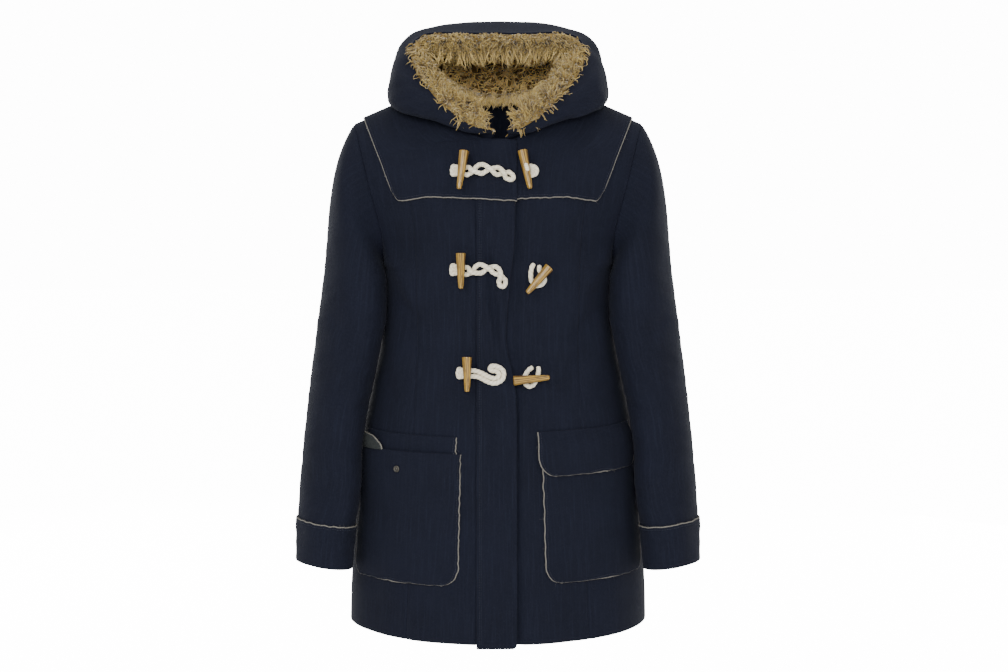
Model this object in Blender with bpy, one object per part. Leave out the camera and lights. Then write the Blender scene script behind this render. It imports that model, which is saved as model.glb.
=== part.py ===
"""Navy hooded parka with wooden toggles, in the hollow form it keeps when it is worn, with no wearer.

Metres, +Z up, the front faces -Y and the wearer's left is +X. The origin lies between the shoulders, at the
height of the neck points, where the wearer carries the coat. Cloth is a thin wall: the outer face is a surface
worked out from the sizes below, and the inner face lies one cloth thickness behind it along the same normals.
"""

import math
from collections import namedtuple

import bmesh
import bpy
import numpy as np

# --- cloth and seams ---
CLOTH = 0.0022
LAYER = 0.0020
DOUBLE_CLOTH = 0.0030
SEAM_GAP = 0.0003
LAYER_GAP = 0.0009

# --- torso ---
HEM_Z = -0.774
HEM_DIP_FRONT = 0.0105
HEM_DIP_BACK = 0.010
UNDERARM_Z = -0.262
SHOULDER_TIP = (0.2065, -0.057)  # x, z
NECK_POINT_X = 0.075
NECK_FRONT_LEVEL = 0.705  # share of the way from underarm to shoulder ridge
NECK_BACK_LEVEL = 0.900
NECK_ROUND = 1.5
BACK_FULLNESS = 0.008  # how far the back swells out beside the side seam
SQUARENESS = 2.3
CHEST_ROUND = 2.2
ARMHOLE_FRONT = 0.058
ARMHOLE_BACK = 0.064

Section = namedtuple("Section", "z half_width front back")
TORSO = (
    Section(z=-0.800, half_width=0.2165, front=0.158, back=0.142),
    Section(z=-0.740, half_width=0.2150, front=0.155, back=0.140),
    Section(z=-0.660, half_width=0.2100, front=0.149, back=0.136),
    Section(z=-0.580, half_width=0.2035, front=0.142, back=0.130),
    Section(z=-0.500, half_width=0.1950, front=0.134, back=0.121),
    Section(z=-0.430, half_width=0.1810, front=0.126, back=0.108),
    Section(z=-0.370, half_width=0.1690, front=0.121, back=0.099),
    Section(z=-0.310, half_width=0.1640, front=0.121, back=0.101),
    Section(z=-0.262, half_width=0.1650, front=0.121, back=0.106),
)
ArmholeRow = namedtuple("ArmholeRow", "z x")
ARMHOLE = (
    ArmholeRow(z=-0.262, x=0.1650),
    ArmholeRow(z=-0.245, x=0.1640),
    ArmholeRow(z=-0.215, x=0.1665),
    ArmholeRow(z=-0.180, x=0.1745),
    ArmholeRow(z=-0.140, x=0.1850),
    ArmholeRow(z=-0.100, x=0.1945),
    ArmholeRow(z=-0.070, x=0.2020),
    ArmholeRow(z=-0.057, x=0.2065),
)

# --- front opening, princess seams, yoke ---
PLACKET_SEAM_X = -0.0292
UNDERLAP_X = -0.0200
UNDERLAP_DEPTH = 0.0030
PLACKET_LIFT = 0.0016
PLACKET_OVER_HEM = 0.005
EdgePoint = namedtuple("EdgePoint", "z x")
PLACKET_EDGE = (
    EdgePoint(z=-0.800, x=0.0262),
    EdgePoint(z=-0.480, x=0.0262),
    EdgePoint(z=-0.435, x=0.0243),
    EdgePoint(z=-0.402, x=0.0190),
    EdgePoint(z=-0.378, x=0.0135),
    EdgePoint(z=-0.355, x=0.0108),
    EdgePoint(z=-0.317, x=0.0130),
    EdgePoint(z=-0.271, x=0.0170),
    EdgePoint(z=-0.224, x=0.0225),
    EdgePoint(z=-0.160, x=0.0236),
    EdgePoint(z=-0.070, x=0.0236),
)
PrincessPoint = namedtuple("PrincessPoint", "level x")
PRINCESS = (
    PrincessPoint(level=0.0, x=0.1290),
    PrincessPoint(level=0.5, x=0.1200),
    PrincessPoint(level=0.8, x=0.1160),
    PrincessPoint(level=1.0, x=0.1165),
    PrincessPoint(level=1.5, x=0.1260),
    PrincessPoint(level=2.0, x=0.1370),
)
YOKE_LIFT = 0.0032
YOKE_PLACKET_STEP = 0.0027
YOKE_EDGE_X = 0.0255
YOKE_EDGE_GAP = 0.0015
YOKE_SHOULDER_X = 0.1915
YOKE_CORNER = (0.1491, -0.1513)  # x, z
YokeEdge = namedtuple("YokeEdge", "x z")
YOKE_BOTTOM = (
    YokeEdge(x=-0.0255, z=-0.1660),
    YokeEdge(x=0.0000, z=-0.1650),
    YokeEdge(x=0.0200, z=-0.1635),
    YokeEdge(x=0.0950, z=-0.1608),
    YokeEdge(x=0.1260, z=-0.1650),
    YokeEdge(x=0.1374, z=-0.1660),
    YokeEdge(x=0.1491, z=-0.1513),
)
YOKE_BACK_DROP = 0.010
YOKE_UNDER_NECK = 0.010  # in levels
YOKE_BESIDE_NECK = 0.005
YOKE_BACK_TOP = (1.845, 0.090)  # the back yoke's level at its centre, and x where it reaches the shoulder
YOKE_BACK_ROUND = 1.6
YOKE_RIDGE_LIFT = 0.0005
YOKE_NECK_LIFT = 0.0018

# --- patch pockets and their flaps: angles round the body, and heights seen from the front ---
Patch = namedtuple("Patch", "from_deg to_deg top bottom tilt corner")
POCKET_RIGHT = Patch(from_deg=15.2, to_deg=73.0, top=-0.520, bottom=-0.702, tilt=0.003, corner=0.024)
POCKET_LEFT = Patch(from_deg=18.5, to_deg=75.0, top=-0.512, bottom=-0.699, tilt=0.006, corner=0.024)
FLAP_RIGHT = Patch(from_deg=17.2, to_deg=71.0, top=-0.4965, bottom=-0.532, tilt=0.004, corner=0.006)
FLAP_LEFT = Patch(from_deg=16.8, to_deg=73.6, top=-0.4890, bottom=-0.5500, tilt=0.006, corner=0.026)
MOUTH_PUFF = 0.0034
FLAP_PUFF = 0.0056
CORNER_STEPS = (0.0, 0.45, 0.80, 1.0)

# --- sleeves ---
SleeveRow = namedtuple("SleeveRow", "z lateral medial fore depth")
SLEEVE = (
    SleeveRow(z=-0.285, lateral=0.2550, medial=0.1648, fore=-0.010, depth=0.066),
    SleeveRow(z=-0.330, lateral=0.2608, medial=0.1618, fore=-0.022, depth=0.065),
    SleeveRow(z=-0.400, lateral=0.2690, medial=0.1725, fore=-0.030, depth=0.063),
    SleeveRow(z=-0.470, lateral=0.2768, medial=0.1872, fore=-0.037, depth=0.060),
    SleeveRow(z=-0.540, lateral=0.2835, medial=0.1975, fore=-0.047, depth=0.057),
    SleeveRow(z=-0.610, lateral=0.2880, medial=0.2032, fore=-0.059, depth=0.054),
    SleeveRow(z=-0.682, lateral=0.2895, medial=0.2095, fore=-0.066, depth=0.052),
)
SLEEVE_TURN = math.radians(22)
UNDERARM_EASE = 0.0006
CUFF_HEIGHT = 0.057
CUFF_OVERHANG = 0.002
CUFF_TILT = 0.0036

# --- soft folds: a trough or ridge along a line, seen from the front or back ---
Fold = namedtuple("Fold", "x0 z0 x1 z1 width height")
FRONT_FOLDS = (
    Fold(x0=-0.150, z0=-0.270, x1=-0.100, z1=-0.420, width=0.016, height=-0.0030),
    Fold(x0=0.150, z0=-0.265, x1=0.112, z1=-0.440, width=0.017, height=-0.0032),
    Fold(x0=-0.105, z0=-0.640, x1=-0.112, z1=-0.800, width=0.024, height=0.0026),
    Fold(x0=0.095, z0=-0.700, x1=0.100, z1=-0.800, width=0.022, height=-0.0022),
)
BACK_FOLDS = (
    Fold(x0=-0.140, z0=-0.260, x1=-0.085, z1=-0.430, width=0.019, height=-0.0034),
    Fold(x0=0.142, z0=-0.268, x1=0.090, z1=-0.410, width=0.018, height=-0.0030),
    Fold(x0=-0.060, z0=-0.560, x1=-0.070, z1=-0.800, width=0.026, height=0.0034),
    Fold(x0=0.075, z0=-0.520, x1=0.082, z1=-0.800, width=0.028, height=0.0030),
)
SleeveFold = namedtuple("SleeveFold", "angle0 z0 angle1 z1 width height")
SLEEVE_FOLDS = (
    SleeveFold(angle0=20, z0=-0.330, angle1=110, z1=-0.372, width=0.014, height=-0.0028),
    SleeveFold(angle0=70, z0=-0.400, angle1=175, z1=-0.430, width=0.013, height=-0.0024),
    SleeveFold(angle0=250, z0=-0.345, angle1=330, z1=-0.390, width=0.014, height=-0.0026),
    SleeveFold(angle0=40, z0=-0.570, angle1=120, z1=-0.590, width=0.012, height=-0.0016),
)

# --- hood: sections from the throat round to the centre of the back, left half. seam is the place on the
# neckline, 0 at the centre front, 1 at the neck point and 2 at the centre back ---
HoodSection = namedtuple("HoodSection", "seam rise rest low side crown rim")
HOOD = (
    HoodSection(
        seam=0.08, rise=(0.0110, -0.0955, -0.0760), rest=(0.0110, -0.0985, -0.0730),
        low=(0.0105, -0.1020, -0.0725), side=(0.0100, -0.1050, -0.0720),
        crown=(0.0098, -0.1080, -0.0712), rim=(0.0095, -0.1105, -0.0700),
    ),
    HoodSection(
        seam=0.25, rise=(0.0360, -0.0920, -0.0675), rest=(0.0400, -0.0990, -0.0660),
        low=(0.0430, -0.1045, -0.0710), side=(0.0440, -0.1095, -0.0700),
        crown=(0.0425, -0.1130, -0.0660), rim=(0.0395, -0.1145, -0.0620),
    ),
    HoodSection(
        seam=0.47, rise=(0.0610, -0.0810, -0.0475), rest=(0.0760, -0.0880, -0.0475),
        low=(0.0885, -0.0960, -0.0545), side=(0.0940, -0.1040, -0.0500),
        crown=(0.0860, -0.1090, -0.0420), rim=(0.0745, -0.1095, -0.0355),
    ),
    HoodSection(
        seam=0.72, rise=(0.0765, -0.0560, -0.0225), rest=(0.1030, -0.0580, -0.0280),
        low=(0.1330, -0.0640, -0.0430), side=(0.1410, -0.0760, -0.0330),
        crown=(0.1230, -0.0880, -0.0170), rim=(0.0975, -0.0910, -0.0110),
    ),
    HoodSection(
        seam=1.00, rise=(0.0800, -0.0010, 0.0050), rest=(0.1150, -0.0080, -0.0080),
        low=(0.1475, -0.0180, -0.0310), side=(0.1555, -0.0380, -0.0170),
        crown=(0.1440, -0.0600, 0.0060), rim=(0.1160, -0.0680, 0.0140),
    ),
    HoodSection(
        seam=1.40, rise=(0.0715, 0.0520, -0.0055), rest=(0.1080, 0.0530, -0.0160),
        low=(0.1460, 0.0380, -0.0280), side=(0.1560, 0.0200, -0.0080),
        crown=(0.1490, -0.0080, 0.0330), rim=(0.1250, -0.0400, 0.0480),
    ),
    HoodSection(
        seam=1.61, rise=(0.0560, 0.0665, -0.0120), rest=(0.0820, 0.0900, -0.0400),
        low=(0.1150, 0.1080, -0.0680), side=(0.1370, 0.1000, -0.0150),
        crown=(0.1340, 0.0300, 0.0645), rim=(0.1030, -0.0180, 0.0715),
    ),
    HoodSection(
        seam=1.80, rise=(0.0320, 0.0740, -0.0175), rest=(0.0460, 0.1090, -0.0560),
        low=(0.0660, 0.1420, -0.1020), side=(0.0800, 0.1600, -0.0320),
        crown=(0.0720, 0.0680, 0.0850), rim=(0.0550, -0.0110, 0.0735),
    ),
    HoodSection(
        seam=2.00, rise=(0.0000, 0.0765, -0.0195), rest=(0.0000, 0.1150, -0.0620),
        low=(0.0000, 0.1520, -0.1120), side=(0.0000, 0.1780, -0.0350),
        crown=(0.0000, 0.0760, 0.0930), rim=(0.0000, -0.0080, 0.0745),
    ),
)
THROAT_SHIFT = 0.0045
HOOD_SEAM_RISE = 0.0007
HOOD_CLEARANCE = 0.0064
HOOD_BACK_CLEARANCE = 0.0090
LINING_GAP = 0.0006
PILE_THIN, PILE_THICK = 0.0040, 0.0170

# --- toggles and their cords, seen from the front. A toggle's lift is its middle line's height over the cloth ---
Toggle = namedtuple("Toggle", "big_x big_z small_x small_z lift")
TOGGLES = {
    "right_1": Toggle(big_x=-0.0453, big_z=-0.1015, small_x=-0.0511, small_z=-0.1517, lift=0.0124),
    "left_1": Toggle(big_x=0.0332, big_z=-0.1008, small_x=0.0430, small_z=-0.1510, lift=0.0122),
    "right_2": Toggle(big_x=-0.0490, big_z=-0.2386, small_x=-0.0493, small_z=-0.2874, lift=0.0121),
    "left_2": Toggle(big_x=0.0685, big_z=-0.2581, small_x=0.0393, small_z=-0.2934, lift=0.0132),
    "right_3": Toggle(big_x=-0.0416, big_z=-0.3835, small_x=-0.0411, small_z=-0.4320, lift=0.0116),
    "left_3": Toggle(big_x=0.0215, big_z=-0.4168, small_x=0.0693, small_z=-0.4129, lift=0.0115),
}
TOGGLE_BIG_R, TOGGLE_SMALL_R = 0.0068, 0.0033
CORD_R = 0.0029
CORD_LIFT = 0.0034
# a braid is two strands side by side: its middle line, half the distance between the strands, and how far the
# first strand runs over the second
BraidRow = namedtuple("BraidRow", "x z spread over")
BRAIDS = {
    "right_1": (
        BraidRow(x=-0.0606, z=-0.1252, spread=0.0058, over=0),
        BraidRow(x=-0.0530, z=-0.1252, spread=0.0040, over=0),
        BraidRow(x=-0.0461, z=-0.1259, spread=0.0040, over=0),
        BraidRow(x=-0.0405, z=-0.1266, spread=0.0050, over=0.0010),
        BraidRow(x=-0.0342, z=-0.1273, spread=0.0000, over=0.0068),
        BraidRow(x=-0.0230, z=-0.1242, spread=-0.0062, over=0),
        BraidRow(x=-0.0112, z=-0.1245, spread=0.0000, over=-0.0068),
        BraidRow(x=-0.0007, z=-0.1270, spread=0.0046, over=0),
        BraidRow(x=0.0077, z=-0.1295, spread=0.0000, over=0.0068),
        BraidRow(x=0.0133, z=-0.1323, spread=-0.0044, over=0),
        BraidRow(x=0.0172, z=-0.1343, spread=-0.0040, over=0),
    ),
    "right_2": (
        BraidRow(x=-0.0620, z=-0.2617, spread=0.0058, over=0),
        BraidRow(x=-0.0549, z=-0.2620, spread=0.0040, over=0),
        BraidRow(x=-0.0479, z=-0.2627, spread=0.0040, over=0),
        BraidRow(x=-0.0424, z=-0.2634, spread=0.0050, over=0.0010),
        BraidRow(x=-0.0354, z=-0.2645, spread=0.0000, over=0.0068),
        BraidRow(x=-0.0243, z=-0.2601, spread=-0.0060, over=0),
        BraidRow(x=-0.0132, z=-0.2592, spread=0.0000, over=-0.0068),
        BraidRow(x=-0.0028, z=-0.2623, spread=0.0047, over=0),
        BraidRow(x=0.0042, z=-0.2697, spread=0.0000, over=0.0068),
        BraidRow(x=0.0060, z=-0.2765, spread=-0.0044, over=0),
        BraidRow(x=0.0063, z=-0.2805, spread=-0.0040, over=0),
    ),
    "right_3": (
        BraidRow(x=-0.0531, z=-0.4064, spread=0.0056, over=0),
        BraidRow(x=-0.0466, z=-0.4064, spread=0.0039, over=0),
        BraidRow(x=-0.0396, z=-0.4067, spread=0.0039, over=0),
        BraidRow(x=-0.0334, z=-0.4067, spread=0.0040, over=0),
        BraidRow(x=-0.0264, z=-0.4081, spread=0.0034, over=0),
        BraidRow(x=-0.0188, z=-0.4116, spread=0.0033, over=0),
        BraidRow(x=-0.0110, z=-0.4155, spread=0.0033, over=0),
        BraidRow(x=-0.0028, z=-0.4165, spread=0.0033, over=0),
        BraidRow(x=0.0040, z=-0.4122, spread=0.0033, over=0),
        BraidRow(x=0.0048, z=-0.4050, spread=0.0033, over=0),
        BraidRow(x=-0.0010, z=-0.4002, spread=0.0033, over=0),
        BraidRow(x=-0.0080, z=-0.3994, spread=0.0033, over=0),
    ),
}
BRAID_ENDS = {"right_1": 0.0043, "right_2": 0.0043, "right_3": 0.0026}
# single cords of the wearer's left: x, z
LOOPS = {
    "left_1": (
        (0.0400, -0.1206), (0.0462, -0.1196), (0.0518, -0.1217), (0.0530, -0.1256), (0.0518, -0.1296),
        (0.0462, -0.1318), (0.0405, -0.1309),
    ),
    "left_2": (
        (0.0502, -0.2530), (0.0467, -0.2592), (0.0456, -0.2676), (0.0464, -0.2765), (0.0517, -0.2831),
        (0.0597, -0.2829), (0.0645, -0.2767), (0.0630, -0.2698), (0.0578, -0.2634), (0.0574, -0.2551),
    ),
    "left_3": (
        (0.0488, -0.3978), (0.0423, -0.4025), (0.0381, -0.4095), (0.0370, -0.4164), (0.0395, -0.4223),
        (0.0448, -0.4248), (0.0503, -0.4214), (0.0534, -0.4143), (0.0562, -0.4060), (0.0562, -0.3968),
    ),
}
STUD_X, STUD_Z, STUD_R = -0.1385, -0.5430, 0.0048
STUD_LIFT = 0.0045
STUD_SIDES = 16
STUD_PROFILE = ((1.0, 0.0), (1.0, 0.0012), (0.7, 0.0020), (0.35, 0.0014))  # share of the radius, height

# --- how finely the cloth is cut up ---
BODY_ROWS = 8
CHEST_LEVELS = (0.0, 0.03, 0.11, 0.22, 0.34, 0.47, 0.6, 0.705)
NECK_STEPS = 8
BACK_NECK_STEPS = 4
SLEEVE_LEVELS = (0.0, 0.03, 0.11, 0.22, 0.34, 0.47, 0.6, 0.705, 0.776, 0.8246, 0.878, 0.93, 0.9746, 1.0)
RIDGE_LEVEL = 1.992  # one more row of the back, close to the shoulder ridge
CAP_RINGS, SLEEVE_RINGS = 6, 6
HOOD_COLUMNS, HOOD_ROWS = 32, 12
YOKE_SHARES = (0.0, 0.15, 0.30, 0.45, 0.58, 0.70, 0.80, 0.88, 0.94, 1.0)
YOKE_BACK_ROWS = (0.0, 0.12, 0.26, 0.42, 0.57, 0.70, 0.80, 0.885, 0.95, 0.985, 1.0)

NAVY = (0.0095, 0.0135, 0.0265, 1.0)
FUR = (0.36, 0.245, 0.105, 1.0)
WOOD = (0.52, 0.30, 0.11, 1.0)
CREAM = (0.80, 0.76, 0.64, 1.0)
BRASS = (0.25, 0.21, 0.13, 1.0)
STEP = 1e-4


def monotone(at, xs, ys):
    """A smooth curve through the points (xs, ys) that rises and falls only where they do."""
    xs, ys = np.asarray(xs, float), np.asarray(ys, float)
    steps = np.diff(xs)
    slopes = np.diff(ys) / steps
    product = slopes[:-1] * slopes[1:]
    same_way = product > 0
    total = np.where(same_way, slopes[:-1] + slopes[1:], 1.0)
    inner = np.where(same_way, 2 * product / total, 0.0)
    tangents = np.concatenate([slopes[:1], inner, slopes[-1:]])
    at = np.clip(at, xs[0], xs[-1])
    i = np.clip(np.searchsorted(xs, at) - 1, 0, len(steps) - 1)
    u = (at - xs[i]) / steps[i]
    start = ys[i] * (1 + 2 * u) + tangents[i] * steps[i] * u
    end = ys[i + 1] * (3 - 2 * u) - tangents[i + 1] * steps[i] * (1 - u)
    return start * (1 - u) ** 2 + end * u**2


def read(rows, name, at, key="z"):
    """One column of a table, read smoothly at the given places."""
    rows = sorted(rows, key=lambda row: getattr(row, key))
    return monotone(at, [getattr(r, key) for r in rows], [getattr(r, name) for r in rows])


def ease(share):
    share = np.clip(share, 0, 1)
    return share * share * (3 - 2 * share)


def unit(vectors):
    return vectors / np.maximum(np.linalg.norm(vectors, axis=-1, keepdims=True), 1e-15)


def spline_weights(at, count):
    """Segment and the four weights of a Catmull-Rom spline over count segments."""
    at = np.clip(at, 0, 1) * count
    i = np.minimum(at.astype(int), count - 1)
    u = at - i
    weights = (-u + 2 * u**2 - u**3, 2 - 5 * u**2 + 3 * u**3, u + 4 * u**2 - 3 * u**3, u**3 - u**2)
    return i, [w / 2 for w in weights]


def spline(points, at):
    """Smooth curve through rows of points, read at the given shares of their number."""
    points = np.asarray(points, float)
    i, weights = spline_weights(at, len(points) - 1)
    padded = np.concatenate([2 * points[:1] - points[1:2], points, 2 * points[-1:] - points[-2:-1]])
    shape = at.shape + (1,) * (points.ndim - 1)
    return sum(w.reshape(shape) * padded[i + k] for k, w in enumerate(weights))


def mirrored(points):
    return points * np.array([-1.0, 1.0, 1.0])


def fold_height(folds, x, z):
    """Sum of the soft folds: a bell across each line that fades out at both its ends."""
    height = np.zeros(np.broadcast(x, z).shape)
    for fold in folds:
        along = np.array([fold.x1 - fold.x0, fold.z1 - fold.z0])
        length = np.hypot(*along)
        along = along / length
        run = (x - fold.x0) * along[0] + (z - fold.z0) * along[1]
        across = (x - fold.x0) * along[1] - (z - fold.z0) * along[0]
        fade = ease(run / (0.35 * length) + 0.3) * ease((length - run) / (0.35 * length) + 0.3)
        height = height + fold.height * fade * np.exp(-((across / fold.width) ** 2))
    return height


# --- torso surface ---
def armhole_z(level):
    return UNDERARM_Z + (SHOULDER_TIP[1] - UNDERARM_Z) * np.clip(level - 1, 0, 1)


def armhole_depth(z, back):
    """How far the armhole's edge lies in front of or behind the shoulder line: an upright half oval."""
    middle = (UNDERARM_Z + SHOULDER_TIP[1]) / 2
    half = (SHOULDER_TIP[1] - UNDERARM_Z) / 2
    share = np.clip((z - middle) / half, -1, 1)
    return (ARMHOLE_BACK if back else ARMHOLE_FRONT) * np.sqrt(1 - share**2)


def shoulder_rise(x):
    """Height of the shoulder ridge over its tip: it climbs evenly to the neck point."""
    run = (SHOULDER_TIP[0] - np.abs(x)) / (SHOULDER_TIP[0] - NECK_POINT_X)
    return -SHOULDER_TIP[1] * np.clip(run, -0.1, 1.08)


def row_width(level):
    """The row's half width: the oval's up to the underarm (level 1) and the armhole's edge above it."""
    z = HEM_Z + (UNDERARM_Z - HEM_Z) * np.minimum(level, 1)
    return np.where(level < 1, read(TORSO, "half_width", z), read(ARMHOLE, "x", armhole_z(level)))


def torso(beta, level, back=False):
    """The torso's outer surface. beta is the angle round from the centre line, 90 degrees at the side. level is
    0 at the hem, 1 at the underarm and 2 at the shoulder ridge. x is the row's half width times sin(beta).
    """
    share = np.sin(beta)
    x = row_width(level) * share
    if back:
        swell = np.sin(4 * (np.clip(np.abs(beta), np.pi / 4, np.pi / 2) - np.pi / 4))
        x = x + np.sign(beta) * BACK_FULLNESS * swell * ease((0.98 - level) / 0.1)
    t = np.clip(level - 1, 0, 1)
    z_low = HEM_Z + (UNDERARM_Z - HEM_Z) * np.minimum(level, 1)
    dip = (HEM_DIP_BACK if back else HEM_DIP_FRONT) * (1 - share**2) * np.clip(1 - level, 0, 1.1) ** 1.5
    z = np.where(level < 1, z_low - dip, armhole_z(level) + shoulder_rise(x) * t**1.5)
    depth = read(TORSO, "back" if back else "front", z_low)
    power = CHEST_ROUND + (SQUARENESS - CHEST_ROUND) * (1 - ease(t * 4))
    bend = 1 / SQUARENESS + (1 - 1 / SQUARENESS) * ease(t / 0.30)
    profile = np.clip(1 - np.abs(share) ** power, 0, 1) ** bend
    middle = (1 - t**5) ** 0.5 if back else (1 - t**3) ** 0.6
    edge = np.where(level < 1, 0, armhole_depth(armhole_z(level), back))
    # near the underarm the armhole's edge draws in only the cloth beside it
    pull = np.abs(share) ** 10 + (1 - profile - np.abs(share) ** 10) * ease(t / 0.25)
    out = depth * middle * profile + edge * pull
    return np.stack([x, out if back else -out, z], axis=-1)


def with_normals(surface, a, b, a_span, b_span):
    """Points of a two-parameter surface and their unit normals, from steps that stay inside its spans."""
    a_low, a_high = np.clip(a - STEP, *a_span), np.clip(a + STEP, *a_span)
    b_low, b_high = np.clip(b - STEP, *b_span), np.clip(b + STEP, *b_span)
    along = surface(a_high, b) - surface(a_low, b)
    up = surface(a, b_high) - surface(a, b_low)
    return surface(a, b), unit(np.cross(unit(along), unit(up)))


def torso_layer(beta, level, lift, back=False):
    """Torso points moved out by lift and by the folds, with the normals of the plain torso."""
    beta, level = np.broadcast_arrays(np.asarray(beta, float), np.asarray(level, float))
    quarter = np.pi / 2
    points, normals = with_normals(
        lambda b, v: torso(b, v, back), beta, level, a_span=(-quarter, quarter), b_span=(-0.1, 2.0)
    )
    normals = -normals if back else normals
    # the folds fade towards the side seam and the shoulder, where front and back share one edge
    folds = fold_height(BACK_FOLDS if back else FRONT_FOLDS, points[..., 0], points[..., 2])
    folds = folds * ease((quarter - np.abs(beta)) / 0.25) * ease((2 - level) / 0.3)
    return points + normals * (np.asarray(lift) + folds)[..., None], normals


def beta_at(x, level):
    return np.arcsin(np.clip(x / row_width(level), -1, 1))


def find_level(measure, target, low, high):
    """The level where a measure that grows with it meets the target, by halving the span."""
    low, high = np.full(target.shape, float(low)), np.full(target.shape, float(high))
    for _ in range(34):
        middle = (low + high) / 2
        above = measure(middle) > target
        low, high = np.where(above, low, middle), np.where(above, middle, high)
    return (low + high) / 2


def level_at(x, z, back=False):
    """The level of the surface at the place x, z that the front view shows."""
    x, z = np.broadcast_arrays(np.asarray(x, float), np.asarray(z, float))
    return find_level(lambda v: torso(beta_at(x, v), v, back)[..., 2], z, 0, 2)


def level_on_line(beta, z):
    """The level where the line up the front at the angle beta reaches the height z."""
    beta, z = np.broadcast_arrays(beta, z)
    return find_level(lambda v: torso(beta, v)[..., 2], z, 0, 2)


def front_point(x, z, lift):
    """A point over the front cloth at the place x, z that the front view shows, and its normal."""
    level = level_at(x, z)
    return torso_layer(beta_at(x, level), level, lift)


def body_height(x, y):
    """Height of the shoulders above the place x, y of the plan, or far below where they don't reach."""
    x = np.abs(x)
    heights = np.full(x.shape, -1.0)
    for back in (False, True):
        sign = 1 if back else -1
        y_of = lambda v: -sign * torso(beta_at(x, v), v, back)[..., 1]
        level = find_level(y_of, -sign * y, 1, 2)
        found = torso(beta_at(x, level), level, back)
        near = (np.abs(found[..., 1] - y) < 1e-4) & (y * sign >= 0)
        heights = np.where(near, np.maximum(heights, found[..., 2]), heights)
    return heights


def neckline(place, back=False):
    """x and level of the neckline: place 0 is the centre and 1 the neck point."""
    drop = np.cos(np.pi / 2 * np.clip(place, 0, 1)) ** NECK_ROUND
    low = NECK_BACK_LEVEL if back else NECK_FRONT_LEVEL
    return NECK_POINT_X * np.sqrt(1 - drop**2), 2 - (1 - low) * drop


def neckline_x(level, low):
    """The neckline's x where it meets a level, for a neckline whose lowest share is low."""
    drop = (2 - level) / (1 - low)
    return NECK_POINT_X * np.sqrt(1 - drop**2)


def torso_levels(back=False):
    """The levels of a panel's rows, and the neckline's x on each, -1 below it."""
    steps = BACK_NECK_STEPS if back else NECK_STEPS
    neck_x, neck_level = neckline(np.arange(1, steps + 1) / steps, back)
    low = NECK_BACK_LEVEL if back else NECK_FRONT_LEVEL
    chest = 1 + np.array([t for t in (SLEEVE_LEVELS if back else CHEST_LEVELS) if t < low] + [low])
    plain = np.concatenate([np.arange(BODY_ROWS) / BODY_ROWS, chest])
    levels = np.concatenate([plain, neck_level])
    neck = np.concatenate([np.full(len(plain), -1.0), neck_x])
    extra = [RIDGE_LEVEL]
    if not back:
        extra = [1 + t for t in SLEEVE_LEVELS if t > low and np.abs(levels - 1 - t).min() > 0.004]
    levels = np.concatenate([levels, extra])
    neck = np.concatenate([neck, neckline_x(np.array(extra), low)])
    order = np.argsort(levels)
    return levels[order], neck[order]


# --- walls ---
def material(name, colour, roughness, metallic=0.0):
    made = bpy.data.materials.new(name)
    made.use_nodes = True
    shader = made.node_tree.nodes["Principled BSDF"]
    shader.inputs["Base Color"].default_value = colour
    shader.inputs["Roughness"].default_value = roughness
    shader.inputs["Metallic"].default_value = metallic
    made.diffuse_color = colour
    return made


def add_object(name, mesh, finish, collection):
    mesh.materials.append(finish)
    made = bpy.data.objects.new(name, mesh)
    collection.objects.link(made)


def turn_out(mesh):
    """Points every face outwards."""
    shape = bmesh.new()
    shape.from_mesh(mesh)
    bmesh.ops.recalc_face_normals(shape, faces=shape.faces)
    shape.to_mesh(mesh)
    shape.free()


def wall(name, outer, inner, finish, collection, tube=False):
    """A closed wall between two grids of points. A tube's last column joins its first."""
    rows, columns = outer.shape[:2]
    points = np.concatenate([outer.reshape(-1, 3), inner.reshape(-1, 3)])
    index = np.arange(rows * columns).reshape(rows, columns)
    if tube:
        index = np.concatenate([index, index[:, :1]], axis=1)
    below = index + rows * columns
    front = np.stack([index[:-1, :-1], index[:-1, 1:], index[1:, 1:], index[1:, :-1]], -1)
    rear = np.stack([below[:-1, :-1], below[1:, :-1], below[1:, 1:], below[:-1, 1:]], -1)
    faces = [front.reshape(-1, 4), rear.reshape(-1, 4)]
    faces.append(np.stack([index[0, 1:], index[0, :-1], below[0, :-1], below[0, 1:]], -1))
    faces.append(np.stack([index[-1, :-1], index[-1, 1:], below[-1, 1:], below[-1, :-1]], -1))
    if not tube:
        faces.append(np.stack([index[:-1, 0], index[1:, 0], below[1:, 0], below[:-1, 0]], -1))
        faces.append(np.stack([index[1:, -1], index[:-1, -1], below[:-1, -1], below[1:, -1]], -1))
    mesh = bpy.data.meshes.new(name)
    mesh.from_pydata(points.tolist(), [], np.concatenate(faces).tolist())
    mesh.update()
    turn_out(mesh)
    mesh.shade_smooth()
    mesh.set_sharp_from_angle(angle=math.radians(50))
    add_object(name, mesh, finish, collection)


# --- body panels ---
def part_at_ridge(outer, normals, levels, back):
    """Sets front and back cloth apart along the shoulder ridge, with upright edges there."""
    apart = SEAM_GAP if back else -SEAM_GAP
    outer[..., 1] += apart * ease((levels - 1.9) / 0.1)
    normals[..., 1] *= levels < 2
    normals[:] = unit(normals)


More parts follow.
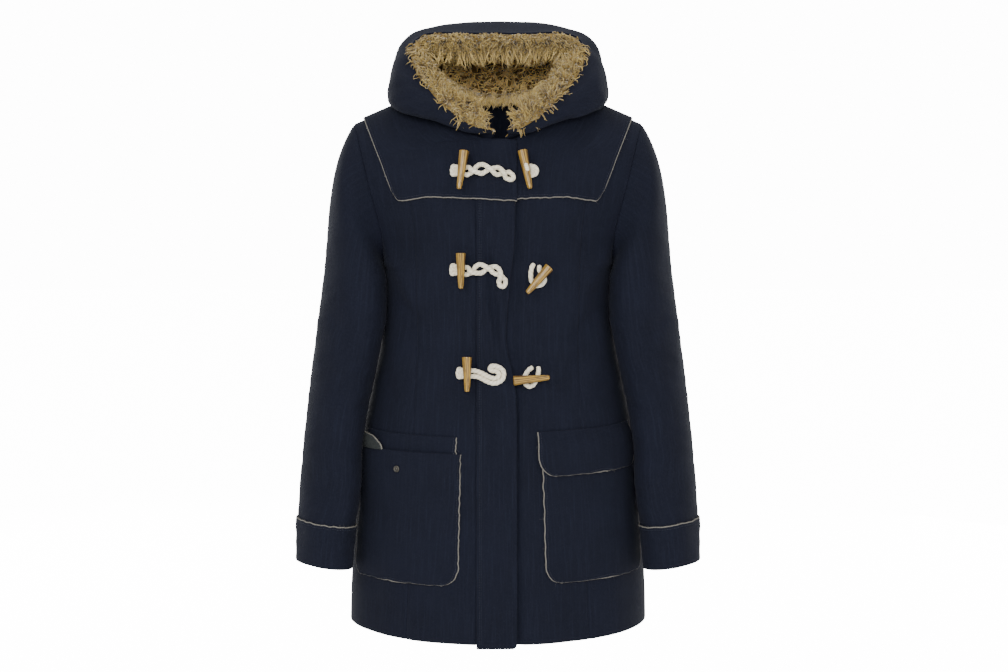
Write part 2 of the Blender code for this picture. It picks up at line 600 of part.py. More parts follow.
def panel(name, from_x, to_x, side, columns, finish, collection, back=False, lift=0.0):
    """A panel between two seams, x of each row's seam given by a function, or None for the armhole and side seam.
    side is -1 for the wearer's right.
    """
    levels, neck = torso_levels(back)
    width = row_width(levels)
    start = np.arcsin(np.clip(np.maximum(from_x(levels), neck) / width, -1, 1))
    end = np.full_like(start, np.pi / 2)
    if to_x is not None:
        end = np.arcsin(np.clip(np.minimum(to_x(levels), width) / width, -1, 1))
    gap = SEAM_GAP / 2 / width
    shares = np.linspace(0, 1, columns + 1)[None, :]
    beta = side * ((start + gap)[:, None] + (end - start - 2 * gap)[:, None] * shares)
    raised = lift(beta, levels[:, None]) if callable(lift) else lift
    outer, normals = torso_layer(beta, levels[:, None], raised, back)
    part_at_ridge(outer, normals, levels[:, None], back)
    if to_x is None:
        beside_side_seam = ease((shares - 0.9) / 0.1) * (1 - ease((levels - 1.9) / 0.1))[:, None]
        outer[..., 1] += (SEAM_GAP if back else -SEAM_GAP) * beside_side_seam
    wall(name, outer, outer - normals * CLOTH, finish, collection)


def princess(levels):
    return read(PRINCESS, "x", levels, key="level")


def underlap_lift(beta, level):
    """The left front dips under the placket along its inner edge."""
    x = row_width(level) * np.sin(beta)
    edge = read(PLACKET_EDGE, "x", UNDERARM_Z + (level - 1) * 0.25)
    return -UNDERLAP_DEPTH * ease((np.maximum(edge, 0.024) + 0.012 - x) / 0.010)


def build_body(finish, collection):
    placket_seam = lambda levels: np.full_like(levels, -PLACKET_SEAM_X + SEAM_GAP)
    underlap = lambda levels: np.full_like(levels, UNDERLAP_X)
    centre = lambda levels: np.zeros_like(levels)
    given = {"finish": finish, "collection": collection}
    panel("front_centre_right", placket_seam, princess, -1, 4, **given)
    panel("front_side_right", princess, None, -1, 5, **given)
    panel("front_centre_left", underlap, princess, 1, 8, lift=underlap_lift, **given)
    panel("front_side_left", princess, None, 1, 5, **given)
    panel("back_right", centre, None, -1, 8, back=True, **given)
    panel("back_left", centre, None, 1, 8, back=True, **given)


def build_placket(finish, collection):
    """The doubled band over the front opening, a little longer than the coat, with its own free edge."""
    levels, neck = torso_levels()
    levels = levels[neck < 0]
    levels[0] = -PLACKET_OVER_HEM / (UNDERARM_Z - HEM_Z)
    middle_z = torso(np.zeros_like(levels), levels)[:, 2]
    free_edge = read(PLACKET_EDGE, "x", middle_z)
    share = np.linspace(0, 1, 5)[None, :]
    x = PLACKET_SEAM_X + SEAM_GAP + (free_edge[:, None] - PLACKET_SEAM_X - SEAM_GAP) * share
    outer, normals = torso_layer(beta_at(x, levels[:, None]), levels[:, None], PLACKET_LIFT)
    wall("placket", outer, outer - normals * DOUBLE_CLOTH, finish, collection)


# --- yokes, pockets and flaps, which lie on the panels ---
def over_placket(x):
    """1 where a layer lies over the placket and 0 beside it, seen from the front."""
    return ease((x - PLACKET_SEAM_X + 0.012) / 0.010)


def yoke_slant(level):
    """x of the yoke's outer edge, which runs straight from the shoulder down to its corner."""
    corner = level_at(*YOKE_CORNER)
    return YOKE_CORNER[0] + (YOKE_SHOULDER_X - YOKE_CORNER[0]) * (level - corner) / (2 - corner)


def yoke_rows(inner_x):
    """x and level of a front yoke's grid: an edge of its own at the bottom, and the panel's levels above it."""
    share = np.array(YOKE_SHARES)
    edge_x = inner_x + (YOKE_CORNER[0] - inner_x) * share
    edge_level = level_at(edge_x, read(YOKE_BOTTOM, "z", edge_x, key="x"))
    levels, _ = torso_levels()
    upper = levels[levels > edge_level.max() + 0.02]
    top = 1 + NECK_FRONT_LEVEL - YOKE_UNDER_NECK
    upper = np.sort(np.append(upper, [(edge_level.max() + upper[0]) / 2, top]))
    drop = (2 - upper - 0.8 * YOKE_UNDER_NECK) / (1 - NECK_FRONT_LEVEL)
    neck_x = NECK_POINT_X * np.sqrt(np.clip(1 - drop**2, 0, 1)) + YOKE_BESIDE_NECK
    below = upper < 1 + NECK_FRONT_LEVEL - 0.9 * YOKE_UNDER_NECK
    start = np.where(below, inner_x, np.maximum(inner_x, neck_x))[:, None]
    x = start + (yoke_slant(upper)[:, None] - start) * share
    return np.vstack([edge_x, x]), np.vstack([edge_level, np.repeat(upper[:, None], len(share), 1)])


def yoke_back_rows():
    """x and level of the back yoke's grid, left half: rows spread between its lower and its upper edge, which
    rises from the centre to the shoulder ridge.
    """
    share = np.array(YOKE_SHARES)
    edge_x = YOKE_CORNER[0] * share
    edge_level = level_at(edge_x, read(YOKE_BOTTOM, "z", edge_x, key="x"))
    edge_level = np.maximum(edge_level, edge_level.max() - 0.03) - YOKE_BACK_DROP
    low, reach = YOKE_BACK_TOP
    away = np.clip(1 - YOKE_SHOULDER_X * share / reach, 0, 1)
    top_level = low + (2 - low) * (1 - away ** (1 / YOKE_BACK_ROUND))
    level = edge_level + (top_level - edge_level) * np.array(YOKE_BACK_ROWS)[:, None]
    return yoke_slant(level) * share, level


def yoke_lift(x, level, back=False):
    """The yoke stands a little higher where the cloth bends over the shoulder ridge, and behind the neck."""
    lift = YOKE_LIFT + YOKE_RIDGE_LIFT * ease((level - 1.85) / 0.1)
    return lift + YOKE_NECK_LIFT * ease((0.130 - x) / 0.04) * ease((level - 1.80) / 0.05) * back


def yoke_front(name, side, inner_x, finish, collection):
    x, level = yoke_rows(inner_x)
    step = YOKE_PLACKET_STEP * over_placket(-x) * (side < 0)
    outer, normals = torso_layer(side * beta_at(x, level), level, yoke_lift(x, level) + step)
    part_at_ridge(outer, normals, level, back=False)
    wall(name, outer, outer - normals * LAYER, finish, collection)


def yoke_back(finish, collection):
    x, level = yoke_back_rows()
    x = np.hstack([-x[:, :0:-1], x])
    level = np.hstack([level[:, :0:-1], level])
    outer, normals = torso_layer(beta_at(x, level), level, yoke_lift(np.abs(x), level, back=True), back=True)
    part_at_ridge(outer, normals, level, back=True)
    wall("yoke_back", outer, outer - normals * LAYER, finish, collection)


def patch(name, side, size, lift, finish, collection, straight_rows=4, columns=10):
    """A patch with rounded lower corners. lift(across, down) gives its height over the panel: across runs from
    -1 to 1 and down from 0 at the top to 1 at the bottom.
    """
    height = size.top - size.bottom
    bend = size.corner / height
    turn = 1 - bend + bend * np.array(CORNER_STEPS)
    down = np.concatenate([np.linspace(0, 1 - bend, straight_rows + 1)[:-1], turn])[:, None]
    across = np.sin(np.linspace(-1, 1, columns + 1) * np.pi / 2)[None, :]
    sunk = np.clip((down - 1 + bend) / bend, 0, 1)
    round_in = (1 - np.sqrt(1 - sunk**2)) * size.corner / 0.105
    middle, half = (size.from_deg + size.to_deg) / 2, (size.to_deg - size.from_deg) / 2
    beta = np.radians(middle + half * across * (1 - round_in))
    z = size.top - height * down + size.tilt * (across + 1) / 2
    level = level_on_line(beta, z)
    outer, normals = torso_layer(side * beta, level, lift(across, down))
    wall(name, outer, outer - normals * LAYER, finish, collection)


def build_pockets(finish, collection):
    given = {"finish": finish, "collection": collection}
    base = LAYER + LAYER_GAP
    fullness = lambda across, down: 0.0022 * (1 - across**2) * (1 - 0.6 * down)
    mouth = lambda across, down: MOUTH_PUFF * ease((1 - np.abs(across)) / 0.034) * ease(1 - down / 0.35)
    full = lambda across, down: base + fullness(across, down)
    gaping = lambda across, down: base + fullness(across, down) + mouth(across, down)
    folded = lambda across, down: base + ease(down / 0.35) * FLAP_PUFF * (1 - 0.35 * across**2 - 0.1 * across)
    tucked = lambda across, down: base + 0 * across * down
    patch("pocket_right", -1, POCKET_RIGHT, gaping, **given)
    patch("pocket_left", 1, POCKET_LEFT, full, **given)
    patch("pocket_flap_left", 1, FLAP_LEFT, folded, straight_rows=3, **given)
    patch("pocket_flap_right", -1, FLAP_RIGHT, tucked, straight_rows=2, **given)


# --- sleeves and cuffs ---
def ring_angles():
    """Angles round the sleeve that meet the armhole at the panels' own levels: 0 at the shoulder tip, 90 degrees
    at the front, 180 at the underarm and 270 at the back.
    """
    half = np.arccos(2 * np.array(SLEEVE_LEVELS[::-1]) - 1)
    return np.concatenate([half, (2 * np.pi - half[::-1])[1:-1]])


def armhole_ring(theta):
    """The armhole's edge and the body's normal there."""
    level = 1 + (1 + np.cos(theta)) / 2
    side = np.full_like(level, np.pi / 2)
    front, front_normal = torso_layer(side, level, 0.0)
    rear, rear_normal = torso_layer(side, level, 0.0, back=True)
    is_front = (np.sin(theta) >= 0)[..., None]
    shared = unit(front_normal + rear_normal)
    blend = ease(np.abs(np.sin(theta)) / 0.25)[..., None]
    normals = unit(shared * (1 - blend) + np.where(is_front, front_normal, rear_normal) * blend)
    return np.where(is_front, front, rear), normals


def sleeve_ring(theta, z):
    """The hanging sleeve's oval at a height, turned so that it bulges in front of the body's side."""
    lateral, medial = read(SLEEVE, "lateral", z), read(SLEEVE, "medial", z)
    centre, half = (lateral + medial) / 2, (lateral - medial) / 2
    y = read(SLEEVE, "fore", z) - read(SLEEVE, "depth", z) * np.sin(theta)
    tilt = CUFF_TILT * ease((SLEEVE[0].z - z) / 0.2) * np.cos(theta)
    return np.stack([centre + half * np.cos(theta + SLEEVE_TURN), y, z + tilt], -1)


def sleeve(theta, s):
    """The sleeve's outer surface: s from 0 to 1 curves from the armhole over the cap to the first hanging oval,
    and from 1 to 2 runs down to the wrist.
    """
    start, _ = armhole_ring(theta)
    end = sleeve_ring(theta, np.full_like(theta, SLEEVE[0].z))
    chord = np.linalg.norm(end - start, axis=-1, keepdims=True)
    top, low = np.clip(np.cos(theta), 0, 1), np.clip(-np.cos(theta), 0, 1)
    leave = unit(np.stack([1.0 - 0.50 * top, -0.25 * np.sin(theta), -0.30 - 0.42 * top - 0.1 * low], -1))
    arrive = np.array([0.12, 0.0, -0.99])
    u = np.clip(s, 0, 1)[..., None]
    curve = (
        start * (1 + 2 * u) * (1 - u) ** 2
        + leave * chord * u * (1 - u) ** 2
        + end * u**2 * (3 - 2 * u)
        - arrive * chord * 1.1 * u**2 * (1 - u)
    )
    z = SLEEVE[0].z + (SLEEVE[-1].z - SLEEVE[0].z) * np.clip(s - 1, 0, 1)
    return np.where((s > 1)[..., None], sleeve_ring(theta, z), curve)


def sleeve_folds(theta, z):
    """Soft folds round the sleeve: each line runs from one angle and height to another."""
    height = np.zeros(np.broadcast(theta, z).shape)
    for fold in SLEEVE_FOLDS:
        share = (np.degrees(theta) % 360 - fold.angle0) / (fold.angle1 - fold.angle0)
        across = z - (fold.z0 + (fold.z1 - fold.z0) * share)
        fade = ease(share * 3) * ease((1 - share) * 3)
        height = height + fold.height * fade * np.exp(-((across / fold.width) ** 2))
    return height


def sleeve_grid(theta, s, lift=0.0):
    theta, s = np.broadcast_arrays(theta, s)
    points, normals = with_normals(sleeve, theta, s, a_span=(-1, 8), b_span=(0, 2))
    folds = sleeve_folds(theta, points[..., 2]) * ease((s - 0.9) / 0.3)
    return points + normals * (lift + folds)[..., None], normals


def build_sleeve(name, cuff_name, side, finish, collection):
    place = (lambda points: points) if side > 0 else mirrored
    theta = ring_angles()[None, :]
    cap = np.linspace(0, 1, CAP_RINGS + 1)
    arm = 1 + np.linspace(0, 1, SLEEVE_RINGS + 1)[1:]
    outer, normals = sleeve_grid(theta, np.concatenate([cap, arm])[:, None])
    edge, edge_normals = armhole_ring(theta[0])
    # the first ring stands clear of the armhole's edge, in the body's own tangent plane
    along = np.roll(edge, -1, 0) - np.roll(edge, 1, 0)
    away = unit(np.cross(along, edge_normals))
    inward = np.array([1.0, 0, 0]) + unit(edge.mean(0) - edge)
    away = away * np.sign((away * inward).sum(-1, keepdims=True))
    low = np.clip(-np.cos(theta[0]), 0, 1)[:, None]
    outer[0] = edge + away * (2 * SEAM_GAP + UNDERARM_EASE * low)
    # under the arm the cloth turns from the body's side to the sleeve's, so its edge leans halfway
    edge_normals = unit(edge_normals + low * normals[1])
    blend = ease(np.array([0.0, 0.5, 0.85]))[:, None, None]
    normals[:3] = unit(edge_normals[None] * (1 - blend) + normals[:3] * blend)
    wall(name, place(outer), place(outer - normals * CLOTH), finish, collection, tube=True)
    share = CUFF_HEIGHT / (SLEEVE[0].z - SLEEVE[-1].z)
    outer, normals = sleeve_grid(theta, np.linspace(2 - share, 2, 4)[:, None], LAYER + LAYER_GAP)
    outer[-1, :, 2] -= CUFF_OVERHANG
    wall(cuff_name, place(outer), place(outer - normals * LAYER), finish, collection, tube=True)


# --- hood ---
def hood_sections():
    """The control sections from the right throat over the back to the left throat, without their seam points."""
    half = np.array([section[1:] for section in HOOD])
    shift = np.array([1.0, 0, 0]) * THROAT_SHIFT
    shift = shift * (np.clip(1 - np.arange(len(HOOD)) / 2.2, 0, 1) ** 1.5)[:, None, None]
    return np.concatenate([mirrored(half) + shift, (half + shift)[-2::-1]])


def seam_places():
    """Each section's place round the neckline, from minus the throat over 2 at the back."""
    places = [section.seam for section in HOOD]
    return np.array([-p for p in places[:-1]] + [-2.0] + [-4.0 + p for p in places[-2::-1]])


def seam_point(place):
    """The neckline's edge at a place: -1 and -3 are the neck points and -2 is the centre back."""
    distance = np.abs(place)
    from_front = np.minimum(distance, 4 - distance)
    is_back = from_front > 1
    side = np.where(distance < 2, -1.0, 1.0)
    points = []
    for back in (False, True):
        x, level = neckline(np.where(is_back, 2 - from_front, from_front), back)
        points.append(torso(side * beta_at(x, level), level, back))
    return np.where(is_back[..., None], points[1], points[0])


def hood_surface(a, w):
    """a runs round the neck from the right throat (0) over the back to the left throat (1). w runs from the neck
    seam (0) over the shoulder to the fold, up the outside and over the crown to the rim (1).
    """
    shape = a.shape
    flat_a, flat_w = a.ravel(), w.ravel()
    sections = spline(hood_sections(), flat_a)
    seam = seam_point(spline(seam_places(), flat_a))
    seam = seam + np.array([0, 0, HOOD_SEAM_RISE])
    points = np.concatenate([seam[:, None], sections], axis=1)
    i, weights = spline_weights(flat_w, points.shape[1] - 1)
    first, last = 2 * points[:, :1] - points[:, 1:2], 2 * points[:, -1:] - points[:, -2:-1]
    points = np.concatenate([first, points, last], axis=1)
    pick = np.arange(len(flat_w))
    curve = sum(weight[:, None] * points[pick, i + k] for k, weight in enumerate(weights))
    clear = HOOD_CLEARANCE + (HOOD_BACK_CLEARANCE - HOOD_CLEARANCE) * ease(curve[:, 1] / 0.03)
    clear = HOOD_SEAM_RISE + (clear - HOOD_SEAM_RISE) * ease((flat_w - 0.03) / 0.09)
    floor = body_height(curve[:, 0], curve[:, 1]) + clear
    curve[:, 2] = np.where(flat_w > 0.03, np.maximum(curve[:, 2], floor), curve[:, 2])
    return curve.reshape(shape + (3,))


def hood_grid():
    a = np.linspace(0, 1, HOOD_COLUMNS + 1)[None, :]
    w = np.linspace(0, 1, HOOD_ROWS + 1)[:, None]
    a, w = np.broadcast_arrays(a, w)
    points, normals = with_normals(hood_surface, a, w, a_span=(0, 1), b_span=(0, 1))
    return points, -normals, a, w


def build_hood(cloth, fur, collection):
    outer, normals, a, w = hood_grid()
    wall("hood", outer, outer - normals * CLOTH, cloth, collection)
    # the pile is deepest at the rim, and thins out towards the throat, the neck seam and the sharp lower fold
    throat = ease((np.minimum(a, 1 - a) - 0.03) / 0.16)
    fold = np.exp(-(((w - 0.48) / 0.12) ** 2))
    pile = PILE_THIN * (0.4 + 0.6 * throat) * (1 - 0.6 * fold)
    pile = pile + (PILE_THICK - PILE_THIN) * ease((w - 0.58) / 0.42) * throat
    rear = outer - normals * (CLOTH + LINING_GAP)
    front = rear - normals * pile[..., None]
    wall("hood_lining", rear[1:], front[1:], fur, collection)


# --- toggles, cords and stud ---
def frame_to(direction):
    """Rotation that takes +Z to the direction."""
    z = unit(np.asarray(direction, float))
    x = unit(np.cross([0.0, 1.0, 0.0], z))
    return np.stack([x, np.cross(z, x), z], axis=1)


def top_cloth(x, z):
    """How far the topmost cloth stands over the front there, yoke and placket counted."""
    on_yoke = z > YOKE_BOTTOM[0].z
    on_placket = ease((x - PLACKET_SEAM_X + 0.022) / 0.014) * ease((0.031 - x) / 0.006)
    return np.where(on_yoke, YOKE_LIFT + YOKE_PLACKET_STEP * on_placket, PLACKET_LIFT * on_placket)


def build_toggle(name, toggle, wood, collection):
    """A tapered wooden peg with rounded rims, lying over its cord."""
    lift = toggle.lift + top_cloth(np.float64(toggle.big_x), np.float64(toggle.big_z))
    big, _ = front_point(toggle.big_x, toggle.big_z, lift)
    small, _ = front_point(toggle.small_x, toggle.small_z, lift)
    length = float(np.linalg.norm(big - small))
    shape = bmesh.new()
    bmesh.ops.create_cone(
        shape, cap_ends=True, segments=12, radius1=TOGGLE_SMALL_R, radius2=TOGGLE_BIG_R, depth=length
    )
    rims = [e for e in shape.edges if abs(e.verts[0].co.z - e.verts[1].co.z) < length / 4]
    bmesh.ops.bevel(shape, geom=rims, offset=0.0011, segments=1, affect="EDGES")
    turn = frame_to(big - small)
    for vertex in shape.verts:
        vertex.co = turn @ np.array(vertex.co) + (big + small) / 2
    mesh = bpy.data.meshes.new(name)
    shape.to_mesh(mesh)
    shape.free()
    mesh.shade_smooth()
    mesh.set_sharp_from_angle(angle=math.radians(40))
    add_object(name, mesh, wood, collection)


def build_tube(name, points, radius, finish, collection, closed=False):
    curve = bpy.data.curves.new(name, "CURVE")
    curve.dimensions = "3D"
    curve.bevel_depth = radius
    curve.bevel_resolution = 2
    curve.use_fill_caps = True
    line = curve.splines.new("POLY")
    line.points.add(len(points) - 1)
    for place, point in zip(line.points, points):
        place.co = (*point, 1.0)
    line.use_cyclic_u = closed
    curve.materials.append(finish)
    made = bpy.data.objects.new(name, curve)
    collection.objects.link(made)


def cloth_route(x, z, lift):
    """Points over the topmost cloth at the places x, z seen from the front."""
    points, _ = front_point(x, z, lift + top_cloth(x, z))
    return points


def braid_strands(rows, end_radius):
    """The closed line of a doubled cord: out along one strand, round the end loop and back along the other."""
    table = np.array(rows, float)
    smooth = spline(table, np.linspace(0, 1, int(1.25 * len(rows)) + 2))
    middle, spread, over = smooth[:, :2], smooth[:, 2], smooth[:, 3]
    along = unit(np.gradient(middle, axis=0))
    across = np.stack([-along[:, 1], along[:, 0]], axis=1)
    one = middle + across * spread[:, None]
    two = middle - across * spread[:, None]
    one_lift = CORD_LIFT + np.clip(over, 0, None)
    two_lift = CORD_LIFT + np.clip(-over, 0, None)
    out_tip = middle[-1] + along[-1] * end_radius
    back_tip = middle[0] - along[0] * 0.6 * CORD_R
    flat = np.vstack([one, out_tip, two[::-1], back_tip])
    lift = np.concatenate([one_lift, [CORD_LIFT], two_lift[::-1], [CORD_LIFT]])
    return cloth_route(flat[:, 0], flat[:, 1], lift)


def build_cords(cream, collection):
    for key, rows in BRAIDS.items():
        points = braid_strands(rows, BRAID_ENDS[key])
        build_tube("toggle_cord_" + key, points, CORD_R, cream, collection, closed=True)
    for key, route in LOOPS.items():
        flat = spline(route, np.linspace(0, 1, 2 * len(route) - 1))
        points = cloth_route(flat[:, 0], flat[:, 1], np.full(len(flat), CORD_LIFT))
        build_tube("toggle_cord_" + key, points, CORD_R, cream, collection)


def build_stud(brass, collection):
    """The press stud on the wearer's right pocket: a low ring with a sunk middle."""
    place, normal = front_point(STUD_X, STUD_Z, LAYER + LAYER_GAP + STUD_LIFT)
    shape = bmesh.new()
    rings = []
    for share, height in STUD_PROFILE:
        radius = share * STUD_R
        angles = np.linspace(0, 2 * np.pi, STUD_SIDES, endpoint=False)
        rings.append([shape.verts.new((radius * np.cos(t), radius * np.sin(t), height)) for t in angles])
    for low, high in zip(rings, rings[1:]):
        for k in range(STUD_SIDES):
            after = (k + 1) % STUD_SIDES
            shape.faces.new((low[k], low[after], high[after], high[k]))
    shape.faces.new(rings[-1])
    shape.faces.new(rings[0][::-1])
    turn = frame_to(normal)
    for vertex in shape.verts:
        vertex.co = turn @ np.array(vertex.co) + place
    mesh = bpy.data.meshes.new("pocket_stud")
    shape.to_mesh(mesh)
    shape.free()
    add_object("pocket_stud", mesh, brass, collection)


def main():
    for old in list(bpy.data.objects):
        bpy.data.objects.remove(old, do_unlink=True)
    coat = bpy.data.collections.new("parka")
    bpy.context.scene.collection.children.link(coat)
    cloth = material("navy_cloth", NAVY, 0.85)
    fur = material("curly_fur", FUR, 0.9)
    wood = material("toggle_wood", WOOD, 0.45)
    cream = material("cream_cord", CREAM, 0.85)
    brass = material("aged_brass", BRASS, 0.4, 1.0)
    build_body(cloth, coat)
    build_placket(cloth, coat)
    yoke_front("yoke_front_right", -1, -YOKE_EDGE_X, cloth, coat)
    yoke_front("yoke_front_left", 1, YOKE_EDGE_X + YOKE_EDGE_GAP, cloth, coat)
    yoke_back(cloth, coat)
    build_pockets(cloth, coat)
    build_sleeve("sleeve_left", "cuff_left", 1, cloth, coat)
    build_sleeve("sleeve_right", "cuff_right", -1, cloth, coat)
    build_hood(cloth, fur, coat)
    for key, toggle in TOGGLES.items():
        build_toggle("toggle_" + key, toggle, wood, coat)
    build_cords(cream, coat)
    build_stud(brass, coat)


main()
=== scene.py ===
"""Navy hooded parka with wooden toggles: the finished cloth, curly hood lining, wood, rope and metal.

Metres, +Z up, the front faces -Y and the wearer's left is +X. Each cloth piece is a closed wall worked out
on a fine grid from the same sizes as its CAD solid, with the folds, seams and raw edges laid on.
"""

import math
from collections import namedtuple

import bmesh
import bpy
import numpy as np
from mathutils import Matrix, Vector


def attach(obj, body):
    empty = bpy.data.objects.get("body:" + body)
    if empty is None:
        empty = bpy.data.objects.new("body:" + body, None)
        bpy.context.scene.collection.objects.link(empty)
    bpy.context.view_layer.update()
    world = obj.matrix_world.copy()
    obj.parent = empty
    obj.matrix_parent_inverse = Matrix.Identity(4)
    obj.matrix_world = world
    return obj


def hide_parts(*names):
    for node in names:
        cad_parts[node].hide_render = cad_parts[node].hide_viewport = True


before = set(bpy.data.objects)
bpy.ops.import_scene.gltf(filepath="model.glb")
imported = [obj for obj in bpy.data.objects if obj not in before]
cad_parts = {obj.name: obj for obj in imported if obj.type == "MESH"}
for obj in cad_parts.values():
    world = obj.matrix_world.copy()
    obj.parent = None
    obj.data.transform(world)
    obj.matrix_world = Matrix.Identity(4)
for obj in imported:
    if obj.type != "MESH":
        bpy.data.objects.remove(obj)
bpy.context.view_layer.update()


def rows_of(kind, *rows):
    """A table's rows, their columns named."""
    return tuple(kind(*row) for row in rows)


# --- cloth and seams ---
CLOTH = 0.0022
LAYER = 0.0020
DOUBLE_CLOTH = 0.0030
SEAM_GAP = 0.0003
LAYER_GAP = 0.0009

# --- torso ---
HEM_Z = -0.774
HEM_DIP_FRONT = 0.0105
HEM_DIP_BACK = 0.010
UNDERARM_Z = -0.262
SHOULDER_TIP = (0.2065, -0.057)  # x, z
NECK_POINT_X = 0.075
NECK_FRONT_LEVEL = 0.705  # share of the way from underarm to shoulder ridge
NECK_BACK_LEVEL = 0.900
NECK_ROUND = 1.5
BACK_FULLNESS = 0.008  # how far the back swells out beside the side seam
SQUARENESS = 2.3
CHEST_ROUND = 2.2
ARMHOLE_FRONT = 0.058
ARMHOLE_BACK = 0.064

Section = namedtuple("Section", "z half_width front back")
TORSO = rows_of(
    Section,
    (-0.8, 0.2165, 0.158, 0.142), (-0.74, 0.215, 0.155, 0.14), (-0.66, 0.21, 0.149, 0.136),
    (-0.58, 0.2035, 0.142, 0.13), (-0.5, 0.195, 0.134, 0.121), (-0.43, 0.181, 0.126, 0.108),
    (-0.37, 0.169, 0.121, 0.099), (-0.31, 0.164, 0.121, 0.101), (-0.262, 0.165, 0.121, 0.106),
)
ArmholeRow = namedtuple("ArmholeRow", "z x")
ARMHOLE = rows_of(
    ArmholeRow,
    (-0.262, 0.165), (-0.245, 0.164), (-0.215, 0.1665), (-0.18, 0.1745), (-0.14, 0.185), (-0.1, 0.1945),
    (-0.07, 0.202), (-0.057, 0.2065),
)

# --- front opening, princess seams, yoke ---
PLACKET_SEAM_X = -0.0292
UNDERLAP_X = -0.0200
UNDERLAP_DEPTH = 0.0030
PLACKET_LIFT = 0.0016
PLACKET_OVER_HEM = 0.005
EdgePoint = namedtuple("EdgePoint", "z x")
PLACKET_EDGE = rows_of(
    EdgePoint,
    (-0.8, 0.0262), (-0.48, 0.0262), (-0.435, 0.0243), (-0.402, 0.019), (-0.378, 0.0135), (-0.355, 0.0108),
    (-0.317, 0.013), (-0.271, 0.017), (-0.224, 0.0225), (-0.16, 0.0236), (-0.07, 0.0236),
)
PrincessPoint = namedtuple("PrincessPoint", "level x")
PRINCESS = rows_of(
    PrincessPoint,
    (0.0, 0.129), (0.5, 0.12), (0.8, 0.116), (1.0, 0.1165), (1.5, 0.126), (2.0, 0.137),
)
YOKE_LIFT = 0.0032
YOKE_PLACKET_STEP = 0.0027
YOKE_EDGE_X = 0.0255
YOKE_EDGE_GAP = 0.0015
YOKE_SHOULDER_X = 0.1915
YOKE_CORNER = (0.1491, -0.1513)  # x, z
YokeEdge = namedtuple("YokeEdge", "x z")
YOKE_BOTTOM = rows_of(
    YokeEdge,
    (-0.0255, -0.166), (0.0, -0.165), (0.02, -0.1635), (0.095, -0.1608), (0.126, -0.165), (0.1374, -0.166),
    (0.1491, -0.1513),
)
YOKE_BACK_DROP = 0.010
YOKE_UNDER_NECK = 0.010  # in levels
YOKE_BESIDE_NECK = 0.005
YOKE_BACK_TOP = (1.845, 0.090)  # the back yoke's level at its centre, and x where it reaches the shoulder
YOKE_BACK_ROUND = 1.6
YOKE_RIDGE_LIFT = 0.0005
YOKE_NECK_LIFT = 0.0018

# --- patch pockets and their flaps: angles round the body, and heights seen from the front ---
Patch = namedtuple("Patch", "from_deg to_deg top bottom tilt corner")
POCKET_RIGHT = Patch(from_deg=15.2, to_deg=73.0, top=-0.520, bottom=-0.702, tilt=0.003, corner=0.024)
POCKET_LEFT = Patch(from_deg=18.5, to_deg=75.0, top=-0.512, bottom=-0.699, tilt=0.006, corner=0.024)
FLAP_RIGHT = Patch(from_deg=17.2, to_deg=71.0, top=-0.4965, bottom=-0.532, tilt=0.004, corner=0.006)
FLAP_LEFT = Patch(from_deg=16.8, to_deg=73.6, top=-0.4890, bottom=-0.5500, tilt=0.006, corner=0.026)
MOUTH_PUFF = 0.0034
FLAP_PUFF = 0.0056

# --- sleeves ---
SleeveRow = namedtuple("SleeveRow", "z lateral medial fore depth")
SLEEVE = rows_of(
    SleeveRow,
    (-0.285, 0.255, 0.1648, -0.01, 0.066), (-0.33, 0.2608, 0.1618, -0.022, 0.065),
    (-0.4, 0.269, 0.1725, -0.03, 0.063), (-0.47, 0.2768, 0.1872, -0.037, 0.06),
    (-0.54, 0.2835, 0.1975, -0.047, 0.057), (-0.61, 0.288, 0.2032, -0.059, 0.054),
    (-0.682, 0.2895, 0.2095, -0.066, 0.052),
)
SLEEVE_TURN = math.radians(22)
UNDERARM_EASE = 0.0006
CUFF_HEIGHT = 0.057
CUFF_OVERHANG = 0.002
CUFF_TILT = 0.0036

# --- soft folds: a trough or ridge along a line, seen from the front or back ---
Fold = namedtuple("Fold", "x0 z0 x1 z1 width height")
FRONT_FOLDS = rows_of(
    Fold,
    (-0.15, -0.27, -0.1, -0.42, 0.016, -0.003), (0.15, -0.265, 0.112, -0.44, 0.017, -0.0032),
    (-0.105, -0.64, -0.112, -0.8, 0.024, 0.0026), (0.095, -0.7, 0.1, -0.8, 0.022, -0.0022),
    # drag lines from the toggles and the pulled placket
    (-0.027, -0.19, -0.012, -0.262, 0.005, -0.0034), (-0.013, -0.228, 0.001, -0.38, 0.0062, -0.004),
    (0.004, -0.25, 0.006, -0.4, 0.0065, 0.0034), (-0.02, -0.295, -0.006, -0.36, 0.0046, 0.0027),
    (-0.008, -0.44, 0.004, -0.6, 0.009, -0.003), (0.042, -0.3, 0.05, -0.4, 0.0085, -0.0027),
    # creases that fan out from under the arms
    (-0.158, -0.232, -0.118, -0.318, 0.0075, 0.0023), (-0.148, -0.305, -0.086, -0.352, 0.0085, -0.0018),
    (0.16, -0.228, 0.126, -0.3, 0.008, 0.0022), (0.15, -0.312, 0.094, -0.372, 0.009, -0.002),
    (0.152, -0.35, 0.118, -0.47, 0.01, 0.0018), (-0.15, -0.372, -0.128, -0.492, 0.011, 0.002),
    # slack between the pockets and the hem
    (-0.066, -0.4, -0.06, -0.56, 0.014, 0.0012), (0.07, -0.45, 0.064, -0.62, 0.015, -0.0012),
    (-0.052, -0.69, -0.05, -0.8, 0.013, -0.0016), (0.052, -0.7, 0.056, -0.8, 0.012, 0.0014),
    (-0.172, -0.64, -0.178, -0.8, 0.017, -0.002), (0.16, -0.62, 0.168, -0.8, 0.016, 0.0018),
)
